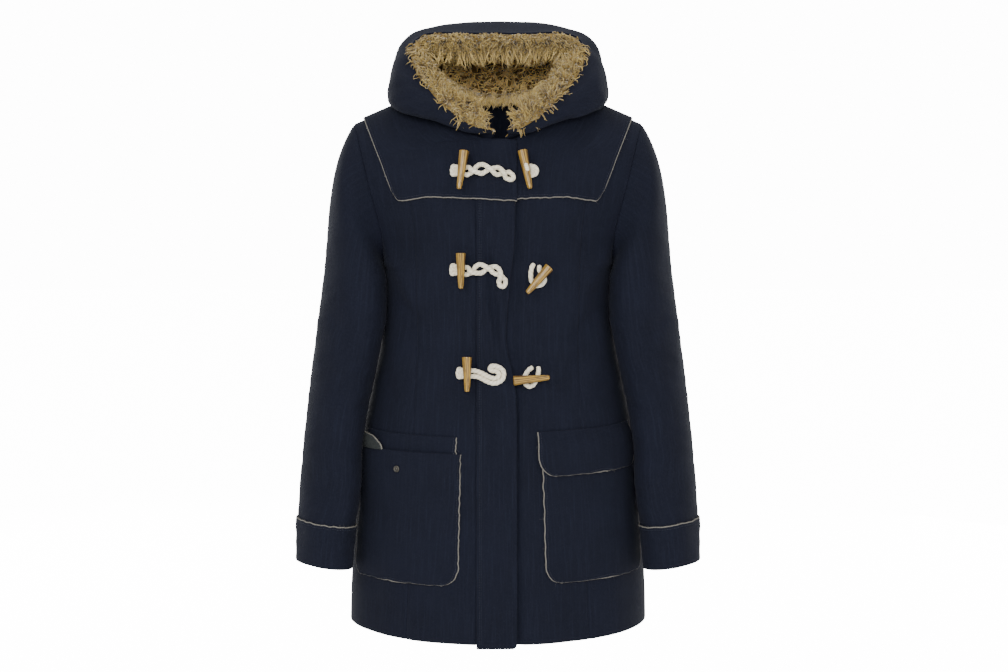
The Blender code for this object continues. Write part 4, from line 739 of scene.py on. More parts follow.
def wall(name, outer, inner, finish, tube=False, raw=None, roll=1.0, reverse=0.0):
    """A closed cloth wall between two grids, its free edges rolled over in a half round. A tube's last
    column joins its first. raw marks the cut edges, 0 to 1 at each grid place, and reverse the cloth's
    other side.
    """
    if tube:
        outer, inner = (np.concatenate([g, g[:, :1]], axis=1) for g in (outer, inner))
        raw = None if raw is None else np.concatenate([raw, raw[:, :1]], axis=1)
    rows, columns = outer.shape[:2]
    raw = np.zeros((rows, columns)) if raw is None else np.broadcast_to(raw, (rows, columns))
    size = rows * columns
    index = np.arange(size).reshape(rows, columns)
    away = np.zeros_like(outer)
    away[0] += outward(outer, 0, False)
    away[-1] += outward(outer, 0, True)
    if not tube:
        away[:, 0] += outward(outer, 1, False)
        away[:, -1] += outward(outer, 1, True)
    away = unit(away).reshape(-1, 3)
    flat_outer, flat_inner = outer.reshape(-1, 3), inner.reshape(-1, 3)
    place = cloth_map(outer).reshape(-1, 2)
    points, uvs, raws = [flat_outer, flat_inner], [place, place], [raw.ravel(), raw.ravel()]
    sides = [np.zeros(size), np.ones(size)]
    same = [index.copy(), index.copy() + size]
    if tube:
        for grid in same:
            grid[:, -1] = grid[:, 0]
    same = [grid.ravel() for grid in same]
    front, rear = quads(index), quads(index + size)[:, ::-1]
    faces, count = [front, rear], 2 * size
    for loop in perimeter(index, tube):
        half = (flat_outer[loop] - flat_inner[loop]) / 2
        thick = np.linalg.norm(half, axis=1, keepdims=True)
        rings = [loop]
        for angle in (45, 90, 135):
            turn = math.radians(angle)
            ring = flat_inner[loop] + half * (1 + math.cos(turn)) + away[loop] * thick * roll * math.sin(turn)
            points.append(ring)
            uvs.append(place[loop])
            raws.append(raw.ravel()[loop])
            sides.append(np.full(len(loop), 0.5))
            rings.append(np.arange(len(loop)) + count)
            known = rings[-1].copy()
            known[-1] = known[0]
            same.append(known)
            count += len(loop)
        rings.append(loop + size)
        is_cut = raw.ravel()[loop] > 0.9
        for run in np.split(np.arange(len(loop)), np.flatnonzero(np.diff(is_cut.astype(int))) + 1):
            if is_cut[run[0]] and len(run) > 6:
                CUT_EDGES.append((flat_outer[loop[run]], unit(half[run]), away[loop[run]]))
        for near, far in zip(rings, rings[1:]):
            faces.append(np.stack([near[:-1], near[1:], far[1:], far[:-1]], -1))
    points, uvs, same = np.concatenate(points), np.concatenate(uvs), np.concatenate(same)
    faces = np.concatenate(faces)
    kept, number = np.unique(same, return_inverse=True)
    marks = {"raw": np.concatenate(raws)[kept], "reverse": np.maximum(np.concatenate(sides), reverse)[kept]}
    return mesh_object(name, points[kept], number.reshape(-1)[faces], finish, uvs[faces.ravel()], marks)


def quads(index):
    return np.stack([index[:-1, :-1], index[:-1, 1:], index[1:, 1:], index[1:, :-1]], -1).reshape(-1, 4)


def cloth_piece(name, outer, inner, finish, held, tube=False, **looks):
    made = wall(name + "_cloth", outer, inner, finish, tube, **looks)
    declare(made, "curly_fur" if name == "hood_lining" else "navy_cloth", name)


# --- body panels ---
def part_at_ridge(outer, normals, levels, back):
    """Sets front and back cloth apart along the shoulder ridge, with upright edges there."""
    apart = SEAM_GAP if back else -SEAM_GAP
    outer[..., 1] += apart * ease((levels - 1.9) / 0.1)
    normals[..., 1] *= levels < 2
    normals[:] = unit(normals)


def seam_dip(shares, length):
    """Cloth drawn in along both edges of a panel by the seams there."""
    near = np.minimum(shares, 1 - shares) * length
    return -SEAM_DEPTH * np.exp(-((near / SEAM_WIDTH) ** 2))


def panel(name, from_x, to_x, side, columns, back=False, lift=None):
    """A body panel between two seams, x of each row's seam given by a function, or None for the armhole
    and side seam. side is -1 for the wearer's right.
    """
    levels, neck = torso_levels(back)
    width = row_width(levels)
    start = np.arcsin(np.clip(np.maximum(from_x(levels), neck) / width, -1, 1))
    end = np.full_like(start, np.pi / 2)
    if to_x is not None:
        end = np.arcsin(np.clip(np.minimum(to_x(levels), width) / width, -1, 1))
    gap = SEAM_GAP / 2 / width
    shares = fine(columns, 0.11)[None, :]
    beta = side * ((start + gap)[:, None] + (end - start - 2 * gap)[:, None] * shares)
    raised = 0.0 if lift is None else lift(beta, levels[:, None])
    raised = raised + seam_dip(shares, (width * (end - start))[:, None]) * (neck < 0)[:, None]
    outer, normals = torso_layer(beta, levels[:, None], raised, back)
    part_at_ridge(outer, normals, levels[:, None], back)
    if to_x is None:
        beside_side_seam = ease((shares - 0.9) / 0.1) * (1 - ease((levels - 1.9) / 0.1))[:, None]
        outer[..., 1] += (SEAM_GAP if back else -SEAM_GAP) * beside_side_seam
    cloth_piece(name, outer, outer - normals * CLOTH, navy_wool, "hung", roll=0.4)


def princess(levels):
    return read(PRINCESS, "x", levels, key="level")


def underlap_lift(beta, level):
    """The left front dips under the placket along its inner edge."""
    x = row_width(level) * np.sin(beta)
    edge = read(PLACKET_EDGE, "x", UNDERARM_Z + (level - 1) * 0.25)
    edge = np.maximum(edge, 0.024)
    hollow = 0.0022 * np.exp(-(((x - edge - 0.003) / 0.007) ** 2))
    return -UNDERLAP_DEPTH * ease((edge + 0.012 - x) / 0.010) - hollow


def make_body():
    placket_seam = lambda levels: np.full_like(levels, -PLACKET_SEAM_X + SEAM_GAP)
    underlap = lambda levels: np.full_like(levels, UNDERLAP_X)
    centre = lambda levels: np.zeros_like(levels)
    panel("front_centre_right", placket_seam, princess, -1, 28)
    panel("front_side_right", princess, None, -1, 32)
    panel("front_centre_left", underlap, princess, 1, 38, lift=underlap_lift)
    panel("front_side_left", princess, None, 1, 32)
    panel("back_right", centre, None, -1, 48, back=True)
    panel("back_left", centre, None, 1, 48, back=True)


def make_placket():
    """The doubled band over the front opening: a little longer than the coat, its free lower corner
    rounded.
    """
    levels, neck = torso_levels()
    levels = levels[neck < 0]
    low = -PLACKET_OVER_HEM / (UNDERARM_Z - HEM_Z)
    levels = np.concatenate([low + (levels[1] - low) * np.linspace(0, 1, 9)[:-1] ** 1.4, levels[1:]])
    middle_z = torso(np.zeros_like(levels), levels)[:, 2]
    free_edge = read(PLACKET_EDGE, "x", middle_z)
    above = np.clip(1 - (middle_z - middle_z[0]) / PLACKET_CORNER, 0, 1)
    free_edge = free_edge - PLACKET_CORNER * (1 - np.sqrt(1 - above**2)) * 0.8
    share = fine(PLACKET_COLUMNS, 0.055)[None, :]
    x = PLACKET_SEAM_X + SEAM_GAP + (free_edge[:, None] - PLACKET_SEAM_X - SEAM_GAP) * share
    sewn = np.exp(-((x - PLACKET_SEAM_X - 0.0042) / 0.0011) ** 2)
    swell = 0.0005 * (1 - (2 * share - 1) ** 4) - 0.0004 * sewn
    outer, normals = torso_layer(beta_at(x, levels[:, None]), levels[:, None], PLACKET_LIFT + swell)
    cloth_piece("placket", outer, outer - normals * DOUBLE_CLOTH, navy_wool, "hung", roll=0.6)


# --- yokes, pockets and flaps, which lie on the panels ---
def over_placket(x):
    """1 where a layer lies over the placket and 0 beside it, seen from the front."""
    return ease((x - PLACKET_SEAM_X + 0.012) / 0.010)


def yoke_slant(level):
    """x of the yoke's outer edge, which runs straight from the shoulder down to its corner."""
    corner = level_at(*YOKE_CORNER)
    return YOKE_CORNER[0] + (YOKE_SHOULDER_X - YOKE_CORNER[0]) * (level - corner) / (2 - corner)


def bottom_edge(edge_x, seed):
    """The yoke's cut lower edge, a little uneven."""
    place = np.stack([edge_x / 0.011, np.zeros_like(edge_x)], -1)
    return read(YOKE_BOTTOM, "z", edge_x, key="x") + EDGE_WOBBLE * unevenness(place, seed)


def yoke_rows(inner_x, seed):
    """x and level of a front yoke's grid: an edge of its own at the bottom, and rows spread above it."""
    share = fine(YOKE_FRONT_COLUMNS, 0.17)
    edge_x = inner_x + (YOKE_CORNER[0] - inner_x) * share
    edge_level = level_at(edge_x, bottom_edge(edge_x, seed))
    levels, _ = torso_levels()
    upper = levels[levels > edge_level.max() + 0.02]
    top = 1 + NECK_FRONT_LEVEL - YOKE_UNDER_NECK
    upper = np.sort(np.append(upper, top))
    drop = (2 - upper - 0.8 * YOKE_UNDER_NECK) / (1 - NECK_FRONT_LEVEL)
    neck_x = NECK_POINT_X * np.sqrt(np.clip(1 - drop**2, 0, 1)) + YOKE_BESIDE_NECK
    below = upper < 1 + NECK_FRONT_LEVEL - 0.9 * YOKE_UNDER_NECK
    start = np.where(below, inner_x, np.maximum(inner_x, neck_x))[:, None]
    x = start + (yoke_slant(upper)[:, None] - start) * share
    # rows between the cut edge and the first even one, close together at the edge
    steps = YOKE_STEPS[:, None]
    between_x = edge_x + (x[0] - edge_x) * steps
    between = edge_level + (upper[0] - edge_level) * steps
    return (
        np.vstack([edge_x, between_x, x]),
        np.vstack([edge_level, between, np.repeat(upper[:, None], len(share), 1)]),
    )


def yoke_back_rows(seed):
    """x and level of the back yoke's grid, left half: rows spread between its lower and its upper edge,
    which rises from the centre to the shoulder ridge.
    """
    share = fine(YOKE_BACK_COLUMNS, 0.17)
    edge_x = YOKE_CORNER[0] * share
    edge_level = level_at(edge_x, bottom_edge(edge_x, seed))
    edge_level = np.maximum(edge_level, edge_level.max() - 0.03) - YOKE_BACK_DROP
    low, reach = YOKE_BACK_TOP
    away = np.clip(1 - YOKE_SHOULDER_X * share / reach, 0, 1)
    top_level = low + (2 - low) * (1 - away ** (1 / YOKE_BACK_ROUND))
    up = np.sort(np.append(np.linspace(0, 1, YOKE_BACK_LEVELS), YOKE_EDGE_ROWS))[:, None]
    level = edge_level + (top_level - edge_level) * up
    return yoke_slant(level) * share, level


def yoke_lift(x, level, back=False):
    """The yoke stands a little higher where the cloth bends over the shoulder ridge, and behind the neck."""
    lift = YOKE_LIFT + YOKE_RIDGE_LIFT * ease((level - 1.85) / 0.1)
    return lift + YOKE_NECK_LIFT * ease((0.130 - x) / 0.04) * ease((level - 1.80) / 0.05) * back


def raw_band(distance):
    """1 on a cut edge and 0 a raw band's width inside it."""
    return 1 - ease(distance / RAW_BAND)


def yoke_front(name, side, inner_x, seed):
    x, level = yoke_rows(inner_x, seed)
    step = YOKE_PLACKET_STEP * over_placket(-x) * (side < 0)
    outer, normals = torso_layer(side * beta_at(x, level), level, yoke_lift(x, level) + step)
    part_at_ridge(outer, normals, level, back=False)
    from_bottom = run_along(outer, 0)
    from_side = run_along(outer[:, ::-1], 1)[:, ::-1]
    raw = np.maximum(raw_band(from_bottom), raw_band(from_side))
    cloth_piece(name, outer, outer - normals * LAYER, navy_wool, "draped", raw=raw)


def yoke_back():
    right_x, right_level = yoke_back_rows(23)
    left_x, left_level = yoke_back_rows(24)
    x = np.hstack([-right_x[:, :0:-1], left_x])
    level = np.hstack([right_level[:, :0:-1], left_level])
    outer, normals = torso_layer(beta_at(x, level), level, yoke_lift(np.abs(x), level, back=True), back=True)
    part_at_ridge(outer, normals, level, back=True)
    across = run_along(outer, 1)
    from_side = np.minimum(across, across[:, -1:] - across)
    raw = np.maximum(raw_band(run_along(outer, 0)), raw_band(from_side))
    cloth_piece("yoke_back", outer, outer - normals * LAYER, navy_wool, "draped", raw=raw)


def patch_places(size):
    """across, -1 to 1, and down, 0 at the top to 1 at the bottom, of a patch's grid, and the angle and
    height of each of its places. The lower corners are rounded.
    """
    height = size.top - size.bottom
    down = fine(PATCH_ROWS, height)[:, None]
    across = 2 * fine(PATCH_COLUMNS, 0.115)[None, :] - 1
    bend = size.corner / height
    sunk = np.clip((down - 1 + bend) / bend, 0, 1)
    round_in = (1 - np.sqrt(1 - sunk**2)) * size.corner / 0.105
    middle, half = (size.from_deg + size.to_deg) / 2, (size.to_deg - size.from_deg) / 2
    beta = np.radians(middle + half * across * (1 - round_in))
    z = size.top - height * down + size.tilt * (across + 1) / 2
    return across, down, beta, z


def patch(name, side, size, lift):
    """A patch laid on the front. lift(across, down) gives its height over the panel."""
    across, down, beta, z = patch_places(size)
    wobble = np.stack([np.degrees(beta) / 5, z / 0.011], -1)
    beta = beta + np.radians(0.22) * unevenness(wobble, len(name)) * np.abs(across) ** 12
    z = z + EDGE_WOBBLE * unevenness(wobble, len(name) + 1) * down**12
    outer, normals = torso_layer(side * beta, level_on_line(beta, z), lift(across, down))
    from_front = outer * FLAT_SEEN
    ends = run_along(from_front, 1)
    edge = np.minimum(ends, ends[:, -1:] - ends)
    hang = run_along(from_front, 0)
    edge = np.minimum(edge, hang[-1:] - hang)
    cloth_piece(name, outer, outer - normals * LAYER, navy_wool, "laid", raw=raw_band(edge))


def pocket_fullness(across, down):
    return LAYER + LAYER_GAP + 0.0022 * (1 - across**2) * (1 - 0.6 * down)


def pocket_mouth(across, down):
    return MOUTH_PUFF * ease((1 - np.abs(across)) / 0.034) * ease(1 - down / 0.35)


def make_pockets():
    base = LAYER + LAYER_GAP
    gaping = lambda across, down: pocket_fullness(across, down) + pocket_mouth(across, down)
    folded = lambda across, down: base + ease(down / 0.35) * FLAP_PUFF * (1 - 0.35 * across**2 - 0.1 * across)
    tucked = lambda across, down: np.full(np.broadcast(across, down).shape, base)
    patch("pocket_right", -1, POCKET_RIGHT, gaping)
    patch("pocket_left", 1, POCKET_LEFT, pocket_fullness)
    patch("pocket_flap_left", 1, FLAP_LEFT, folded)
    patch("pocket_flap_right", -1, FLAP_RIGHT, tucked)
    make_rolled_corner()


def make_rolled_corner():
    """The tucked flap's outer corner, curled up over the pocket's mouth: a quarter of an oval that shows
    the grey reverse, cut along its round edge.
    """
    reach = fine(18, 0.024)[:, None]
    turn = np.linspace(0, np.pi / 2, 34)[None, :]
    long, tall = ROLLED_CORNER[2:]
    x = ROLLED_CORNER[0] + long * (0.04 + 0.96 * reach) * np.cos(turn)
    z = ROLLED_CORNER[1] + tall * (0.04 + 0.96 * reach) * np.sin(turn) + 0.0006 * np.sin(9 * turn) * reach
    curl = 0.0012 + 0.0042 * np.sin(np.pi * np.clip(reach * 0.85, 0, 1)) + 0.0016 * reach * np.sin(2 * turn)
    outer, normals = front_point(x, z, 2 * (LAYER + LAYER_GAP) + curl)
    from_front = outer * FLAT_SEEN
    edge = run_along(from_front[::-1], 0)[::-1]
    made = wall("pocket_flap_right_corner", outer[:, ::-1], (outer - normals * LAYER)[:, ::-1], navy_wool,
                raw=raw_band(edge)[:, ::-1], reverse=2.0)
    declare(made, "navy_cloth")


# --- sleeves and cuffs ---
def armhole_ring(theta):
    """The armhole's edge and the body's normal there."""
    level = 1 + (1 + np.cos(theta)) / 2
    side = np.full_like(level, np.pi / 2)
    front, front_normal = torso_layer(side, level, 0.0)
    rear, rear_normal = torso_layer(side, level, 0.0, back=True)
    is_front = (np.sin(theta) >= 0)[..., None]
    shared = unit(front_normal + rear_normal)
    blend = ease(np.abs(np.sin(theta)) / 0.25)[..., None]
    normals = unit(shared * (1 - blend) + np.where(is_front, front_normal, rear_normal) * blend)
    return np.where(is_front, front, rear), normals


def sleeve_ring(theta, z):
    """The hanging sleeve's oval at a height, turned so that it bulges in front of the body's side."""
    lateral, medial = read(SLEEVE, "lateral", z), read(SLEEVE, "medial", z)
    centre, half = (lateral + medial) / 2, (lateral - medial) / 2
    y = read(SLEEVE, "fore", z) - read(SLEEVE, "depth", z) * np.sin(theta)
    tilt = CUFF_TILT * ease((SLEEVE[0].z - z) / 0.2) * np.cos(theta)
    return np.stack([centre + half * np.cos(theta + SLEEVE_TURN), y, z + tilt], -1)


def sleeve(theta, s):
    """The sleeve's outer surface: s from 0 to 1 curves from the armhole over the cap to the first hanging
    oval, and from 1 to 2 runs down to the wrist.
    """
    start, _ = armhole_ring(theta)
    end = sleeve_ring(theta, np.full_like(theta, SLEEVE[0].z))
    chord = np.linalg.norm(end - start, axis=-1, keepdims=True)
    top, low = np.clip(np.cos(theta), 0, 1), np.clip(-np.cos(theta), 0, 1)
    leave = unit(np.stack([1.0 - 0.50 * top, -0.25 * np.sin(theta), -0.30 - 0.42 * top - 0.1 * low], -1))
    arrive = np.array([0.12, 0.0, -0.99])
    u = np.clip(s, 0, 1)[..., None]
    curve = (
        start * (1 + 2 * u) * (1 - u) ** 2
        + leave * chord * u * (1 - u) ** 2
        + end * u**2 * (3 - 2 * u)
        - arrive * chord * 1.1 * u**2 * (1 - u)
    )
    z = SLEEVE[0].z + (SLEEVE[-1].z - SLEEVE[0].z) * np.clip(s - 1, 0, 1)
    return np.where((s > 1)[..., None], sleeve_ring(theta, z), curve)


def sleeve_folds(theta, z):
    """Soft folds round the sleeve: each line runs from one angle and height to another."""
    height = np.zeros(np.broadcast(theta, z).shape)
    for fold in SLEEVE_FOLDS:
        share = (np.degrees(theta) % 360 - fold.angle0) / (fold.angle1 - fold.angle0)
        across = z - (fold.z0 + (fold.z1 - fold.z0) * share)
        fade = ease(share * 3) * ease((1 - share) * 3)
        height = height + fold.height * fade * np.exp(-((across / fold.width) ** 2))
    return height


def sleeve_grid(theta, s, lift=0.0):
    theta, s = np.broadcast_arrays(theta, s)
    points, normals = with_normals(sleeve, theta, s, a_span=(-1, 8), b_span=(0, 2))
    folds = sleeve_folds(theta, points[..., 2]) * ease((s - 0.9) / 0.3)
    wrap = np.stack([np.sin(theta) * 1.6, points[..., 2] / 0.030 + np.cos(theta)], -1)
    folds = folds + 0.0007 * unevenness(wrap, 5) * ease((s - 0.4) / 0.5)
    to_body = ease(-np.cos(theta + SLEEVE_TURN) * 1.6 - 0.4)
    for level, reach in SLEEVE_PRESSES:
        folds = folds + reach * to_body * np.exp(-(((points[..., 2] - level) / 0.026) ** 2))
    return points + normals * (lift + folds)[..., None], normals


def make_sleeve(name, cuff_name, side):
    """A sleeve set into its armhole, and the turned cuff over its end with a cut upper edge."""
    place = (lambda points: points) if side > 0 else mirrored
    theta = ring_angles()[None, :]
    cap = np.linspace(0, 1, SLEEVE_CAP_ROWS) ** 1.15
    s = np.concatenate([cap, 1 + np.linspace(0, 1, SLEEVE_ROWS)[1:]])[:, None]
    outer, normals = sleeve_grid(theta, s)
    edge, edge_normals = armhole_ring(theta[0])
    along = np.roll(edge, -1, 0) - np.roll(edge, 1, 0)
    away = unit(np.cross(along, edge_normals))
    inward = np.array([1.0, 0, 0]) + unit(edge.mean(0) - edge)
    away = away * np.sign((away * inward).sum(-1, keepdims=True))
    low = np.clip(-np.cos(theta[0]), 0, 1)[:, None]
    clear = 1 - ease(s[..., None] / 0.17)
    outer = outer + away * (2 * SEAM_GAP + UNDERARM_EASE * low) * clear
    lean = unit(edge_normals + low * normals[8])
    blend = ease(3 * s)[..., None]
    normals = unit(lean[None] * (1 - blend) + normals * blend)
    dip = seam_dip(np.minimum(s / 2, 0.5), 0.5)
    outer = outer + normals * dip[..., None]
    cloth_piece(name, place(outer), place(outer - normals * CLOTH), navy_wool, "hung", tube=True, roll=0.4)
    share = CUFF_HEIGHT / (SLEEVE[0].z - SLEEVE[-1].z)
    rows = fine(CUFF_ROWS, CUFF_HEIGHT)[:, None]
    ragged = EDGE_WOBBLE * unevenness(np.stack([theta * 4, theta * 0], -1), side + 9) / CUFF_HEIGHT
    outer, normals = sleeve_grid(theta, 2 - share * (1 - rows + ragged * (1 - rows) ** 6), LAYER + LAYER_GAP)
    outer[..., 2] -= CUFF_OVERHANG * rows**4
    inner = outer - normals * LAYER
    raw = raw_band(run_along(outer, 0))
    cloth_piece(cuff_name, place(outer), place(inner), navy_wool, "folded", tube=True, raw=raw)


# --- hood ---
def hood_sections():
    """The control sections from the right throat over the back to the left throat, without their seam
    points.
    """
    half = np.array([section[1:] for section in HOOD])
    shift = np.array([1.0, 0, 0]) * THROAT_SHIFT
    shift = shift * (np.clip(1 - np.arange(len(HOOD)) / 2.2, 0, 1) ** 1.5)[:, None, None]
    return np.concatenate([mirrored(half) + shift, (half + shift)[-2::-1]])


def seam_places():
    """Each section's place round the neckline, from minus the throat over 2 at the back."""
    places = [section.seam for section in HOOD]
    return np.array([-p for p in places[:-1]] + [-2.0] + [-4.0 + p for p in places[-2::-1]])


def seam_point(place):
    """The neckline's edge at a place: -1 and -3 are the neck points and -2 is the centre back."""
    distance = np.abs(place)
    from_front = np.minimum(distance, 4 - distance)
    is_back = from_front > 1
    side = np.where(distance < 2, -1.0, 1.0)
    points = []
    for back in (False, True):
        x, level = neckline(np.where(is_back, 2 - from_front, from_front), back)
        points.append(torso(side * beta_at(x, level), level, back))
    return np.where(is_back[..., None], points[1], points[0])


def hood_surface(a, w):
    """a runs round the neck from the right throat (0) over the back to the left throat (1). w runs from
    the neck seam (0) over the shoulder to the fold, up the outside and over the crown to the rim (1).
    """
    shape = a.shape
    flat_a, flat_w = a.ravel(), w.ravel()
    sections = spline(hood_sections(), flat_a)
    seam = seam_point(spline(seam_places(), flat_a))
    seam = seam + np.array([0, 0, HOOD_SEAM_RISE])
    points = np.concatenate([seam[:, None], sections], axis=1)
    i, weights = spline_weights(flat_w, points.shape[1] - 1)
    first, last = 2 * points[:, :1] - points[:, 1:2], 2 * points[:, -1:] - points[:, -2:-1]
    points = np.concatenate([first, points, last], axis=1)
    pick = np.arange(len(flat_w))
    curve = sum(weight[:, None] * points[pick, i + k] for k, weight in enumerate(weights))
    clear = HOOD_CLEARANCE + (HOOD_BACK_CLEARANCE - HOOD_CLEARANCE) * ease(curve[:, 1] / 0.03)
    clear = HOOD_SEAM_RISE + (clear - HOOD_SEAM_RISE) * ease((flat_w - 0.03) / 0.09)
    floor = body_height(curve[:, 0], curve[:, 1]) + clear
    curve[:, 2] = np.where(flat_w > 0.03, np.maximum(curve[:, 2], floor), curve[:, 2])
    return curve.reshape(shape + (3,))


def hood_grid():
    """The hood's outer grid with soft folds and unevenness, its outward normals, and its two parameters."""
    a, w = np.broadcast_arrays(fine(HOOD_COLUMNS, 0.75)[None, :], fine(HOOD_ROWS, 0.30)[:, None])
    points, normals = with_normals(hood_surface, a, w, a_span=(0, 1), b_span=(0, 1))
    sag = np.zeros_like(a)
    for fold in HOOD_FOLDS:
        share = np.clip((w - fold.w0) / (fold.w1 - fold.w0), -0.3, 1.3)
        line = fold.a0 + (fold.a1 - fold.a0) * share
        fade = ease((share + 0.3) / 0.5) * ease((1.3 - share) / 0.5)
        sag = sag + fold.height * fade * np.exp(-(((a - line) / fold.width) ** 2))
    sag = sag + 0.0008 * unevenness(np.stack([a * 22, w * 7], -1), 31)
    sag = sag * ease((w - 0.12) / 0.2) * ease((np.minimum(a, 1 - a) - 0.02) / 0.06)
    points = points - normals * sag[..., None]
    middle = np.exp(-((points[..., 0] / CROWN_HALF) ** 2))
    points[..., 2] -= CROWN_DROP * middle * ease((points[..., 2] - CROWN_FROM) / 0.030)
    return points, -normals, a, w


def pile_depth(a, w):
    """The lining's depth: thickest at the rim, thin at the throat, the neck seam and the sharp lower
    fold.
    """
    throat = ease((np.minimum(a, 1 - a) - 0.03) / 0.16)
    fold = np.exp(-(((w - 0.48) / 0.12) ** 2))
    pile = PILE_THIN * (0.4 + 0.6 * throat) * (1 - 0.6 * fold)
    return pile + (PILE_THICK - PILE_THIN) * ease((w - 0.58) / 0.42) * throat


def tufts(points, size, seed):
    """Height from 0 to 1 of rounded tufts: a crossed pair of bent waves through space, folded at their
    zeros.
    """
    bend = points + size * 0.55 * np.stack(
        [unevenness(points[..., [(k + 1) % 3, (k + 2) % 3]] / (2.3 * size), seed + k) for k in range(3)], -1
    )
    waves = [np.abs(np.sin(bend[..., k] * np.pi / size + k)) for k in range(3)]
    return (waves[0] * waves[1] + waves[1] * waves[2] + waves[2] * waves[0]) / 3


def make_hood():
    outer, normals, a, w = hood_grid()
    cloth_piece("hood", outer, outer - normals * CLOTH, navy_wool, "draped", roll=0.8)
    rear = outer - normals * (CLOTH + LINING_GAP)
    depth = pile_depth(a, w)
    grain = tufts(outer, PILE_GRAIN, 41) * 0.75 + tufts(outer, PILE_GRAIN_FINE, 47) * 0.25
    front = rear - normals * (depth * (0.62 + 0.38 * grain))[..., None]
    rear, front, depth, a, w = rear[1:], front[1:], depth[1:], a[1:], w[1:]
    beside = np.minimum(a, 1 - a)
    full = ease((beside - 0.004) / 0.07) * ease((0.34 - beside) / 0.10)
    inward = OPENING_MIDDLE - rear
    inward[..., 1] = 0
    front = front + unit(inward) * (BAND_WIDTH * full * ease((w - 0.74) / 0.26))[..., None]
    columns = np.r_[0 : rear.shape[1] - 1 : 2, rear.shape[1] - 1]
    thin = lambda grid: np.concatenate([grid[:-9:2], grid[-9:]])[:, columns]
    cloth_piece("hood_lining", thin(rear), thin(front), curly_pile, "draped", roll=PILE_ROLL)
    # the locks stand on the pile's face and on its rolled edge at the rim
    half = (front[-1] - rear[-1]) / 2
    out = unit(rear[-1] - rear[-3]) * np.linalg.norm(half, axis=-1, keepdims=True) * PILE_ROLL
    turn = ROLLED_RIM[:, None, None]
    rolled = rear[-1] + half * (1 + np.cos(turn)) + out * np.sin(turn)
    rolled_ways = unit(half) * np.cos(turn) + unit(out) * np.sin(turn)
    roots = np.concatenate([front, rolled])
    ways = np.concatenate([unit(front - rear), rolled_ways])
    repeat = lambda grid: np.concatenate([grid, np.repeat(grid[-1:], len(turn), axis=0)])
    depth, a, w = repeat(depth), repeat(a), repeat(w)
    w[len(front):] = 1.05
    beside = np.minimum(a, 1 - a)
    middle = ease((beside + 0.004) / 0.02)
    top = ease((beside - 0.27) / 0.06)
    raised = np.concatenate([np.zeros(len(front)), turn.ravel()])[:, None]
    face = middle * np.where(w > 1, 0.0, ease((w - 0.62) / 0.04)) * ease((beside - 0.2) / 0.05)
    rim = middle * np.where(w > 1, 1.0, top * (w > 0.93)) * (1 - 0.35 * top * ease((raised - 1.8) / 0.5))
    neck = ease((beside - 0.26) / 0.06) * np.where(w < 0.10, 1.0, 0.0)
    down = np.array([0.0, -0.35, -1.0])
    into = np.concatenate([unit(inward), np.repeat(unit(inward[-1:]), len(turn), axis=0)])
    rim_pull = 1.1 * top[..., None] * down + 0.75 * (1 - top)[..., None] * into
    # painted light: locks deep in the hood, and those that hang or rise into it, get a paler colour, the last
    # entry of each set
    deep_painted_light = ease((1.0 - w) / 0.12) * (w <= 1)
    under = top * np.where(w > 1, raised < 0.7, w > 0.90)
    sets = {
        "lining_locks_inside": (face, 6600, 61, (0.015, 0.026), 0.5 * down + 0 * roots, deep_painted_light),
        "lining_locks_rim": (rim, 5200, 67, (0.011, 0.020), rim_pull, 0.0 * a),
        "lining_locks_hanging": (under, 1500, 73, (0.024, 0.036), 1.5 * down + 0 * roots, 0.3 + 0 * a),
        "lining_locks_neck": (neck, 1500, 71, (0.020, 0.032), 2.2 * down + 0 * roots, 0.35 + 0 * a),
    }
    for name, look in sets.items():
        lock_set(name, roots, ways, *look)


